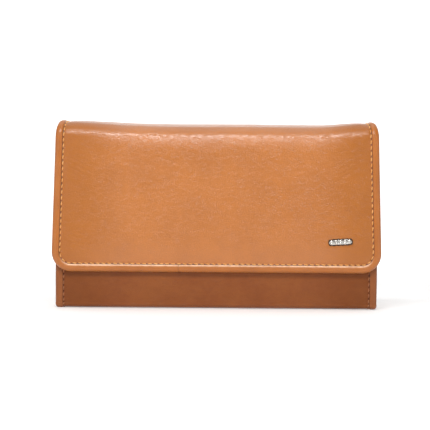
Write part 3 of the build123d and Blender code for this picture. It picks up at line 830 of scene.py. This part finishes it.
# ---------------------------------------------------------------- stitches
STITCH_LONG = 2.15
STITCH_STEPS = 9
STITCH_SLANT = 0.13
STITCH_LIFT = 0.34
STITCH_SUNK = 0.08        # how deep a stitch's ends go in
PLY_TURN = 2.4 * math.pi  # how far the two plies wind round each other along a stitch
STRAND_SIDES = 6
STRAND_R = 0.22
STRAND_OFF = 0.17


def on_skin(x, s, out):
    return skin_point(x, s, out + sag(x, s))


def level(height):
    """A surface for stitches at one height."""
    return lambda x, s: np.full_like(x, height)


def stitches(centre_x, centre_s, tangent, surface, outside, seed, length=STITCH_LONG, place=on_skin,
             thick=1.0):
    """Two-ply stitches. tangent is (dx, ds) along the seam; surface(x, s) is the height there."""
    rng = np.random.default_rng(seed)
    count = len(centre_x)
    t = np.linspace(-0.5, 0.5, STITCH_STEPS)
    slant = (STITCH_SLANT + rng.normal(0, 0.03, count))[:, None]
    lift = (1 + rng.normal(0, 0.08, count))[:, None]
    tx, ts = (part[:, None, None] for part in tangent)
    seat = surface(centre_x, centre_s)[:, None, None]
    centre_x, centre_s = centre_x[:, None, None], centre_s[:, None, None]
    around = np.linspace(0, 2 * math.pi, STRAND_SIDES, endpoint=False)
    faces = tube_faces(STITCH_STEPS, STRAND_SIDES)
    parts = []
    for ply in (0, 1):
        turn = math.pi * ply + PLY_TURN * t + rng.uniform(0, 0.6, count)[:, None]
        ease = np.sqrt(np.clip(1 - (2 * t) ** 4, 0.02, 1))
        aside = slant * t * length + thick * STRAND_OFF * np.cos(turn) * ease
        arch = lift * (STITCH_LIFT * np.cos(math.pi * t) - STITCH_SUNK)
        above = thick * (arch + STRAND_OFF * np.sin(turn) * ease)
        radius = thick * STRAND_R * (0.55 + 0.45 * ease)[:, None]
        aside = aside[:, :, None] + radius * np.cos(around)
        above = above[:, :, None] + radius * np.sin(around)
        run = (t * length)[:, None]
        x = centre_x + tx * run - ts * aside
        s = centre_s + ts * run + tx * aside
        out = seat + outside * above
        points, coords = place(x, s, out), xyz(x, s, out)
        parts += [(points[k], faces, {"skin": coords[k]}) for k in range(count)]
    return joined(parts)


def seam_row(start, end, side, surface, outside, seed):
    """The stitches whose middles lie between start and end along the seam, on one side."""
    along = (np.arange(round(SEAM_MIDDLE / PITCH)) + 0.5) * PITCH
    along = along[(along >= start) & (along < end)]
    x, s = edge_curve(along, SEAM_IN, side)
    ahead_x, ahead_s = edge_curve(along + 0.05, SEAM_IN, side)
    away = np.hypot(ahead_x - x, ahead_s - s)
    return stitches(x, s, ((ahead_x - x) / away, (ahead_s - s) / away), surface, outside, seed)


def straight_seam(start, end, surface, outside, seed, place=on_skin, thick=1.0):
    """A row of stitches from one (x, s) point to another."""
    start, end = np.asarray(start, float), np.asarray(end, float)
    span = np.linalg.norm(end - start)
    count = max(1, round(span / (PITCH * thick)))
    share = (np.arange(count) + 0.5) / count
    x, s = (start + (end - start) * share[:, None]).T
    direction = np.broadcast_to((end - start)[:, None] / span, (2, count))
    return stitches(x, s, direction, surface, outside, seed, 0.72 * span / count, place, thick)


def make_stitches():
    rows = (
        ("flap", S_MID_TOP, SEAM_MIDDLE, FLAP_FOLD, THREAD),
        ("top", S_MID_BACK, S_MID_TOP, TOP_FOLD, THREAD),
        ("back", S_MID_BASE, S_MID_BACK, BACK_FOLD, THREAD),
        ("front", 4.5, S_MID_BASE, FRONT_FOLD, DARK_THREAD),
    )
    for name, start, end, fold, finish in rows:
        shape = joined([seam_row(start, end, side, pillow, 1.0, 40 + side) for side in (1, -1)])
        piece(f"{name}_stitches", shape, finish, fold, f"{name}_stitching")
        if name in ("flap", "top"):
            inside = [seam_row(start, end, side, level(-PANEL), -1.0, 50 + side) for side in (1, -1)]
            piece(f"{name}_inner_stitches", joined(inside), finish, fold)


# ---------------------------------------------------------------- inside: pockets and gussets
COIN_HALF = high("coin_wall_front", X)
COIN_TOP = high("coin_wall_front", Z)
COIN_FRONT = low("coin_wall_front", Y)
COIN_BACK = high("coin_wall_back", Y)
COIN_MIDDLE = (COIN_FRONT + COIN_BACK) / 2
COIN_WALL = high("coin_wall_front", Y) - COIN_FRONT
COIN_SEAM_Z = COIN_TOP - 2.6             # the stitches below the coin pocket's mouth
FLOOR_IN = PANEL - 0.02                  # the base lining's upper face
Z_TO_S = S_BACK - BASE_R                 # from a height on the back wall to its place on the skin


def coin_wall(face_y, away):
    """One wall of the coin pocket: a turned top edge, and a soft bulge into the room beside it."""
    turned = np.linspace(0, math.pi, 9)
    edge_r = COIN_WALL / 2
    up = steps((FLOOR_IN, COIN_TOP - 4, 2.2), (COIN_TOP - 4, COIN_TOP - edge_r, 0.5))
    loop = [(z, 0.0) for z in up]
    loop += [(COIN_TOP - edge_r + edge_r * math.sin(t), edge_r * (1 - math.cos(t))) for t in turned[1:-1]]
    loop += [(z, 2 * edge_r) for z in up[::-1]]
    z, depth = np.array(loop).T
    x = steps((-COIN_HALF, COIN_HALF, 1.6))[:, None]
    room = smooth(0, 14, COIN_HALF - np.abs(x)) * smooth(0, 12, COIN_TOP - 3 - z)
    room = room * smooth(0, 16, z - FLOOR_IN)
    groove = 0.16 * bell(z - COIN_SEAM_Z, 0.45) * (depth < 0.1)
    push = 0.5 * room + 0.12 * ripple(x, z, 34, 61) * room - groove
    points = xyz(x, face_y + away * (push - depth), z)
    return points, tube_faces(*points.shape[:2]), {}


def coin_face(face_y, away):
    """A place() function for stitches on a coin wall's outer face."""
    return lambda x, z, out: xyz(x, face_y + away * out, z)


def upright(z_low, z_high, dip, side):
    """A place() function for bent_sheet(): a path seen from above, carried up to a dipping top edge."""
    rise = steps((0, 0.9, 0.04), (0.9, 1, 0.02))[:, None]

    def place(path):
        across = (path[:, 1] - path[:, 1].min()) / np.ptp(path[:, 1])
        top = z_high - dip * np.sin(across * math.pi) ** 2
        z = z_low + (top - z_low) * rise
        soft = 0.18 * np.sin(z * 0.21 + 1.3 * across) * np.sin(across * math.pi)
        return xyz((path[:, 0] + soft) * side, path[:, 1], z)
    return place


def make_coin_pocket():
    for name, face_y, away in (("front", COIN_FRONT, -1), ("back", COIN_BACK, 1)):
        piece(f"coin_{name}_panel", coin_wall(face_y, away), INNER, "pocket_core", f"coin_wall_{name}")
        place = coin_face(face_y, away)
        reach = COIN_HALF - 3
        rows = [straight_seam((-reach, COIN_SEAM_Z), (reach, COIN_SEAM_Z), level(-0.12), 1.0, 71, place)]
        for side in (1, -1):
            x = side * (COIN_HALF - 1.6)
            rows.append(straight_seam((x, COIN_TOP - 3.4), (x, 8), level(-0.02), 1.0, 73, place))
        piece(f"coin_{name}_stitches", joined(rows), DARK_THREAD, "pocket_core")
    path = curve_through([
        (COIN_HALF - 0.5, COIN_FRONT + COIN_WALL), (COIN_HALF - 1.1, COIN_MIDDLE - 1.6),
        (COIN_HALF - 2.0, COIN_MIDDLE), (COIN_HALF - 1.1, COIN_MIDDLE + 1.6),
        (COIN_HALF - 0.5, COIN_BACK - COIN_WALL)])
    ends = [bent_sheet(path, 0.8, upright(FLOOR_IN, COIN_TOP - 0.4, 1.0, side)) for side in (1, -1)]
    piece("coin_pocket_ends", joined(ends), INNER, "pocket_core", "coin_pocket_sides")


def make_gussets():
    for name, wall_y, coin_y in (("front", FRONT_Y + PANEL, COIN_FRONT),
                                 ("back", low("card_pocket_low", Y), COIN_BACK)):
        outer_x = high(f"{name}_gusset_right", X)
        top = high(f"{name}_gusset_right", Z)
        toward = 1 if coin_y > wall_y else -1
        near_wall, near_coin = wall_y + toward * 0.48, coin_y - toward * 0.48
        middle = (wall_y + coin_y) / 2
        path = curve_through([
            (outer_x, near_wall), (outer_x - 2.2, near_wall + toward * 0.04),
            (outer_x - 5.5, near_wall + toward * 0.75), (outer_x - 8.4, middle - toward * 0.6),
            (outer_x - 9.1, middle), (outer_x - 8.4, middle + toward * 0.6),
            (COIN_HALF - 3.6, near_coin - toward * 0.75), (COIN_HALF - 1.2, near_coin - toward * 0.04),
            (COIN_HALF - 0.1, near_coin)], 6)
        fold = ("pocket_core", f"{name}_wall", (0, near_coin, 30), (0, near_wall, 30))
        for side_name, side in (("right", 1), ("left", -1)):
            shape = bent_sheet(path, 0.75, upright(FLOOR_IN + 0.1, top, 3.0, side))
            node = f"{name}_gusset_{side_name}"
            piece(f"{node}_fold", shape, INNER, fold, node)


def card_pocket(top_z, outer, thick, half, foot_z):
    """One card pocket against the back wall, with a turned and slightly thicker top edge."""
    up = steps((foot_z, top_z - 5, 2.5), (top_z - 5, top_z - 0.4, 0.4))
    lip = thick * (0.86 + 0.14 * smooth(top_z - 2.6, top_z - 2.3, up))
    loop = [(z, outer + thick - h) for z, h in zip(up, lip)]
    loop += [(top_z - 0.12, outer + 0.12), (top_z, outer + thick / 2),
             (top_z - 0.12, outer + thick - 0.12)]
    loop += [(z, outer + thick) for z in up[::-1]]
    z, out = np.array(loop).T
    x = steps((-half, half, 1.6))[:, None]
    seam = 0.14 * bell(z - top_z + 1.7, 0.35) + 0.12 * bell(x, 0.5)
    facing = out < outer + thick / 2
    coords = xyz(x, z + Z_TO_S, out + (seam + 0.03 * ripple(x, z, 21, 83)) * facing)
    return on_skin(*np.moveaxis(coords, -1, 0)), tube_faces(*coords.shape[:2]), {"skin": coords}


def make_card_pockets():
    names = ("high", "mid", "low")
    tops = [high(f"card_pocket_{name}", Z) for name in names]
    feet_seen = [top + 0.6 for top in tops[1:]] + [low("card_pocket_low", Z) + 2]
    for n, (name, top, foot_seen) in enumerate(zip(names, tops, feet_seen)):
        cad = f"card_pocket_{name}"
        thick = high(cad, Y) - low(cad, Y)
        outer = low(cad, Y) - BACK_Y
        half = high(cad, X)
        shape = card_pocket(top, outer, thick, half, low(cad, Z))
        piece(f"card_slot_{name}", shape, INNER, "back_wall", cad)
        seam_s, upper, lower = (z + Z_TO_S for z in (top - 1.7, top - 3, foot_seen))
        side_x = half - 1.6
        lines = [((2 - half, seam_s), (half - 2, seam_s), 90), ((0, upper), (0, lower), 95),
                 ((side_x, upper), (side_x, lower), 97), ((-side_x, upper), (-side_x, lower), 97)]
        surface = level(outer + 0.04)
        rows = [straight_seam(start, end, surface, -1.0, seed + n) for start, end, seed in lines]
        piece(f"card_slot_{name}_stitches", joined(rows), DARK_THREAD, "back_wall")


def make_front_edge_seam():
    s, reach = 4.2, FRONT_HALF - SEAM_IN - 2
    outside = straight_seam((-reach, s), (reach, s), pillow, 1.0, 111)
    piece("front_edge_stitches", outside, DARK_THREAD, "front_wall")
    inside = straight_seam((-reach, s), (reach, s), level(FRONT_EDGE_IN), -1.0, 113)
    piece("front_edge_inner_stitches", inside, DARK_THREAD, "front_wall")


# ---------------------------------------------------------------- zip
COIL_HIGH = high("zip_coil_back", Z)
COIL_REACH = high("zip_coil_back", X)
COIL_Z = (COIN_TOP + COIL_HIGH) / 2
COIL_PITCH = 1.3
COIL_STEPS = 14           # points in each turn
SLIDER_X = mid("zip_slider", X)
SLIDER_HALF = high("zip_slider", X) - SLIDER_X
SLIDER_WIDE = high("zip_slider", Y) - COIN_MIDDLE
PIN_Z = mid("slider_pin", Z)
PIN_R = high("slider_pin", X) - SLIDER_X
PIN_HALF = high("slider_pin", Y) - COIN_MIDDLE
PULL_DROOP = math.radians(6)


def make_tapes():
    room = (COIN_BACK - COIN_FRONT) / 2 - COIN_WALL
    path = [(room - 0.25, z) for z in np.linspace(COIN_TOP - 8, COIN_TOP - 0.9, 9)]
    path += [(room - 0.25 - 0.5 * (1 - math.cos(t)), COIN_TOP - 0.75 + 0.5 * math.sin(t))
             for t in np.linspace(0, math.pi / 2, 6)]
    path += [(y, COIN_TOP - 0.25) for y in (1.5, 1.25, 1.02)]
    length = high("zip_tape_back", X)
    x = steps((-length, length, 2.0))[:, None]
    for name, away in (("front", -1), ("back", 1)):
        shape = bent_sheet(path, 0.46, lambda at: xyz(x, COIN_MIDDLE + away * at[:, 0], at[:, 1]))
        piece(f"zip_{name}_ribbon", shape, TAPE, "pocket_core", f"zip_tape_{name}")


def pipe(centre, radius, sides):
    """A tube along a line of points that mostly runs along X."""
    tangent = np.gradient(centre, axis=0)
    tangent /= np.linalg.norm(tangent, axis=1)[:, None]
    first = np.cross(tangent, (1.0, 0.0, 0.02))
    lengths = np.linalg.norm(first, axis=1)[:, None]
    first = np.where(lengths > 0.05, first / np.maximum(lengths, 1e-9), (0.0, 1.0, 0.0))
    second = np.cross(tangent, first)
    angle = np.linspace(0, 2 * math.pi, sides, endpoint=False)[:, None]
    grid = centre[:, None] + radius * (np.cos(angle) * first[:, None] + np.sin(angle) * second[:, None])
    return grid, tube_faces(len(centre), sides), {}


def coil_row(away, phase):
    """One row: a wound nylon thread and the cord inside it."""
    turns = round(2 * COIL_REACH / COIL_PITCH)
    t = np.arange(turns * COIL_STEPS + 1) / COIL_STEPS
    angle = 2 * math.pi * (t + phase)
    wound = xyz(t * COIL_PITCH - COIL_REACH, COIN_MIDDLE + away * (1.07 + 0.68 * np.cos(angle)),
                COIL_Z + 0.4 * np.sin(angle))
    cord = xyz(steps((-COIL_REACH, COIL_REACH, 2.5)), COIN_MIDDLE + away * 1.2, COIL_Z)
    return joined([pipe(wound, 0.26, 7), pipe(cord, 0.33, 6)])


def about_slider(u, v, w):
    """Along the zip from the slider's middle, across it, and up in Z."""
    return xyz(SLIDER_X + u, COIN_MIDDLE + v, w)


def about_pin(u, v, w):
    """Along the pull from the pin, across it and off its face."""
    x = SLIDER_X + u * math.cos(PULL_DROOP) - w * math.sin(PULL_DROOP)
    z = PIN_Z + u * math.sin(PULL_DROOP) + w * math.cos(PULL_DROOP)
    return xyz(x, COIN_MIDDLE + v, z)


def block_outline(u_low, u_high, v_low, v_high, radius):
    corners = [(u_low, v_low), (u_high, v_low), (u_high, v_high), (u_low, v_high)]
    return rounded_outline(corners, radius)


def make_slider():
    wide, half = SLIDER_WIDE, SLIDER_HALF
    plate_low, plate_high = COIL_HIGH + 0.3, COIL_HIGH + 1.3
    shield = rounded_outline([(-half, -wide * 0.72), (-1.5, -wide * 0.8), (half - 0.6, -wide), (half, 0),
                              (half - 0.6, wide), (-1.5, wide * 0.8), (-half, wide * 0.72)], 1.6, 7)
    neck = block_outline(0.9, 3.5, -0.4, 0.4, 0.35)
    parts = [
        plate(shield, plate_low, plate_high, 0.36, about_slider),
        plate(shield * (0.99, 0.5), COIN_TOP - 1.8, COIN_TOP - 0.8, 0.3, about_slider),
        plate(neck, COIN_TOP - 1.2, plate_low + 0.2, 0.05, about_slider),
    ]
    lug = rounded_outline([(-1.9, plate_high - 0.3), (1.9, plate_high - 0.3), (1.15, PIN_Z + 0.9),
                           (-1.15, PIN_Z + 0.9)], 1.0, 6)
    for side in (1, -1):
        flange = rounded_outline([
            (0.7 - half, side * (wide - 0.66)), (half - 0.9, side * (wide - 0.66)),
            (half - 0.9, side * (wide - 0.04)), (0.7 - half, side * (wide - 0.3))], 0.25)
        parts.append(plate(flange, COIN_TOP + 0.3, plate_low + 0.3, 0.12, about_slider))
        parts.append(plate(lug, side * 1.5, side * 2.3, side * 0.16,
                           lambda u, v, w: about_slider(u, w, v)))
    piece("slider_body", joined(parts), NICKEL, "zip_slider", "zip_slider")
    upper = [(PIN_R * 0.97, PIN_HALF - 0.2), (PIN_R * 0.8, PIN_HALF + 0.05), (0.02, PIN_HALF + 0.12)]
    profile = [(r, COIN_MIDDLE - y) for r, y in upper[::-1]] + [(r, COIN_MIDDLE + y) for r, y in upper]
    piece("slider_rivet", lathe(profile, SLIDER_X, PIN_Z, 24), NICKEL, "zip_slider", "slider_pin")


def make_pull():
    angle = np.linspace(-2.45, 2.45, 30)
    eye = 1.08 * np.stack([np.cos(angle), np.sin(angle)], -1)
    tail = np.array([(-1.4, 0.12), (-3.2, 0.0), (-8.0, 0.0)])
    path = np.concatenate([tail[::-1], eye[::-1], tail[:1] * (1, -1)])
    across = np.array([-1.2, -1.0, 0.0, 1.0, 1.2])[:, None]
    link = bent_sheet(path, 0.74, lambda at: about_pin(at[:, 0], across, at[:, 1]))
    piece("pull_loop", link, NICKEL, "zip_pull", "pull_link")

    start, end = -5.5, -17.0
    outline = rounded_outline([(end, -2.4), (end, 2.4), (start, 1.9), (start, -1.9)], 1.3, 7)
    tab_finish = INNER[0], "leather_binding"
    piece("pull_leather", plate(outline, -0.95, 0.95, 0.5, about_pin), tab_finish, "zip_pull", "pull_tab")
    sides = [((start - 0.9, side * 1.2), (end + 1.3, side * 1.5), 121) for side in (1, -1)]
    lines = sides + [((end + 1.15, -1.1), (end + 1.15, 1.1), 123)]
    rows = [straight_seam(first, last, level(face * 0.93), face, seed, about_pin, 0.55)
            for face in (1.0, -1.0) for first, last, seed in lines]
    piece("pull_stitches", joined(rows), THREAD, "zip_pull")


def make_stops():
    """A staple across both rows at one end, and one on each row at the other."""
    parts = []
    for end, v_low, v_high in ((-1, -2.0, 2.0), (1, -2.0, -0.6), (1, 0.6, 2.0)):
        x = end * (COIL_REACH + 0.8)
        outline = block_outline(x - 0.8, x + 0.8, v_low, v_high, 0.5)
        parts.append(plate(outline, COIN_TOP, COIL_HIGH + 0.2, 0.35,
                           lambda u, v, w: xyz(u, COIN_MIDDLE + v, w)))
    piece("zip_end_stops", joined(parts), NICKEL, "pocket_core", "zip_stops")


def make_zip():
    make_tapes()
    for name, away, phase in (("front", -1, 0.0), ("back", 1, 0.5)):
        piece(f"zip_{name}_teeth", coil_row(away, phase), COIL, "pocket_core", f"zip_coil_{name}")
    make_stops()
    make_slider()
    make_pull()


# ---------------------------------------------------------------- snap and badge
def ring(profile, x, z):
    """A turned ring from a closed profile of (radius, y)."""
    sides = 64
    points, _, _ = lathe(profile, x, z, sides)
    return points, grid_faces(len(profile), sides, wrap=True).tolist(), {}


def make_snap():
    """The socket in the flap's lining and the stud on the front wall, both turned."""
    back, face = low("snap_socket", Y), high("snap_socket", Y)
    r = high("snap_socket", X)
    socket = [(2.5, back), (r, back), (r, face - 0.35), (r - 0.12, face - 0.1), (r - 0.4, face),
              (r - 0.85, face - 0.02), (r - 1.3, face - 0.3), (3.35, face - 0.34), (3.15, face - 0.05),
              (2.9, face + 0.02), (2.66, face - 0.06), (2.5, face - 0.3), (2.5, back)]
    piece("snap_socket_ring", ring(socket, 0, SNAP_Z), NICKEL, "flap", "snap_socket")
    reach = np.linspace(-2.3, 2.3, 9)
    springs = [pipe(xyz(reach, (back + face) / 2, SNAP_Z + side * 1.95), 0.17, 8) for side in (1, -1)]
    piece("snap_springs", joined(springs), DARK_NICKEL, "flap")
    tip, base = low("snap_stud", Y), FRONT_Y
    stud = [(0.02, tip), (1.2, tip + 0.02), (1.7, tip + 0.16), (2.0, tip + 0.55), (1.9, tip + 0.95),
            (1.62, tip + 1.3), (1.66, base - 0.52), (2.1, base - 0.46), (3.9, base - 0.34),
            (4.3, base - 0.48), (4.7, base - 0.5), (4.95, base - 0.3), (5.0, base + 0.15),
            (1.2, base + 0.2), (1.2, base + 0.95), (0.02, base + 0.95)]
    piece("snap_stud_turned", lathe(stud, 0, SNAP_Z, 64), NICKEL, "front_wall", "snap_stud")
    for hidden in ("snap_cap", "snap_eyelet"):
        data = bpy.data.objects[hidden].data
        data.materials.clear()
        data.materials.append(NICKEL[0])


BADGE_HALF = 6.9
BEAD_PITCH = 2.48
BEAD_COLUMNS = 5


def make_badge():
    """A generic trim: a row of fused round lumps in a dark, lumpy surround."""
    seat = FLAP_Y - float(pillow(np.array(BADGE_X), np.array(BADGE_S)))
    turn, lean = math.cos(BADGE_TILT), math.sin(BADGE_TILT)
    rng = np.random.default_rng(211)

    def place(u, v, w):
        return xyz(BADGE_X + u * turn - v * lean, seat - w, BADGE_Z + u * lean + v * turn)
    along = steps((-BADGE_HALF, BADGE_HALF, 0.23))
    lumpy = 1.62 + 0.36 * np.abs(np.cos((along + 6.2) * math.pi / BEAD_PITCH))
    lumpy = lumpy + rng.normal(0, 0.04, len(along))
    lumpy = lumpy * np.sqrt(np.clip(1.02 - (np.abs(along) / BADGE_HALF) ** 10, 0.02, 1))
    outline = np.concatenate([np.stack([along, -lumpy], -1), np.stack([along, lumpy], -1)[::-1]])
    piece("trim_surround", plate(outline, -0.3, 0.5, 0.2, place), DARK_NICKEL, "flap", "badge")
    piece("trim_bar", plate(outline * (0.93, 0.66), 0.3, 0.78, 0.2, place), NICKEL, "flap")
    angle = np.linspace(0, 2 * math.pi, 24, endpoint=False)
    rise = np.linspace(0, math.pi / 2, 7)[:, None]
    beads = []
    for v in (0.62, -0.62):
        for column in range(BEAD_COLUMNS):
            u = (column - BEAD_COLUMNS // 2) * BEAD_PITCH
            radius = np.maximum(np.cos(rise), 0.01) * rng.uniform(0.72, 0.86)
            wide = rng.uniform(1.1, 1.35)
            bead_u, bead_v = u + wide * radius * np.cos(angle), v + radius * np.sin(angle)
            grid = place(bead_u, bead_v, 0.55 + 0.6 * np.sin(rise))
            beads.append((grid, tube_faces(len(rise), len(angle)), {}))
    piece("trim_beads", joined(beads), NICKEL, "flap")


# ---------------------------------------------------------------- studio, in metres
WALLET_MIDDLE = Vector((0, 0, 0.055))


def area_light(name, place, size, power):
    """A soft rectangular light that faces the wallet's middle."""
    data = bpy.data.lights.new(name, "AREA")
    data.shape = "RECTANGLE"
    data.size, data.size_y = size
    data.energy = power
    lamp = bpy.data.objects.new(name, data)
    lamp.location = place
    lamp.rotation_euler = (WALLET_MIDDLE - Vector(place)).to_track_quat("-Z", "Y").to_euler()
    bpy.context.scene.collection.objects.link(lamp)


def make_floor():
    """A pale sweep: flat under the wallet, then curving up far behind it."""
    half, front, back, radius, rise = 3.0, -3.0, 1.6, 0.8, 2.2
    line = [(front, 0.0), (back, 0.0)]
    for turn in np.linspace(0, math.pi / 2, 13)[1:]:
        line.append((back + radius * math.sin(turn), radius * (1 - math.cos(turn))))
    line.append((back + radius, rise))
    points = [(x, y, z) for y, z in line for x in (-half, half)]
    floor = mesh("floor", np.array(points) / MM, grid_faces(len(line), 2))
    look = Look("pale_floor", Base_Color=(0.86, 0.86, 0.86), Roughness=0.7, Emission_Color=(1.0, 1.0, 1.0))
    behind = look.parts(look.node("TexCoord", {})["Object"])[1]
    glow = look.plus(look.ramp(behind, 0.25, 1.2, 0.0, 0.63), look.ramp(behind, -0.9, -0.55, 0.0, 0.22))
    look.feed(Emission_Strength=glow)
    floor.data.materials.append(look.made)


def make_studio():
    world = bpy.data.worlds.new("studio")
    world.use_nodes = True
    colour, strength = world.node_tree.nodes["Background"].inputs[:2]
    colour.default_value = (1.0, 0.985, 0.965, 1)
    strength.default_value = 0.2
    bpy.context.scene.world = world
    bpy.context.scene.view_settings.view_transform = "Standard"
    area_light("key", (-0.1, -0.88, 0.92), (0.7, 0.3), 12.0)
    area_light("fill_left", (-1.1, -0.9, 0.22), (0.45, 0.36), 1.5)
    area_light("fill_right", (1.1, -0.9, 0.22), (0.45, 0.36), 1.5)
    area_light("top", (0.0, 0.3, 1.1), (1.3, 0.6), 3.2)


def make_camera():
    """Level with the wallet's middle, and turned a little about the view's axis."""
    data = bpy.data.cameras.new("camera")
    data.sensor_width = 36.0
    distance, view_wide = 0.9, 0.2408
    data.lens = data.sensor_width * distance / view_wide
    camera = bpy.data.objects.new("camera", data)
    camera.location = (-0.001, FLAP_Y * MM - distance, 0.0527)
    camera.rotation_euler = (math.radians(90), math.radians(-0.45), 0)
    bpy.context.scene.collection.objects.link(camera)
    bpy.context.scene.camera = camera


make_skin()
make_flap_binding()
make_side_bindings()
make_stitches()
make_coin_pocket()
make_gussets()
make_card_pockets()
make_front_edge_seam()
make_zip()
make_snap()
make_badge()
make_floor()
make_studio()
make_camera()
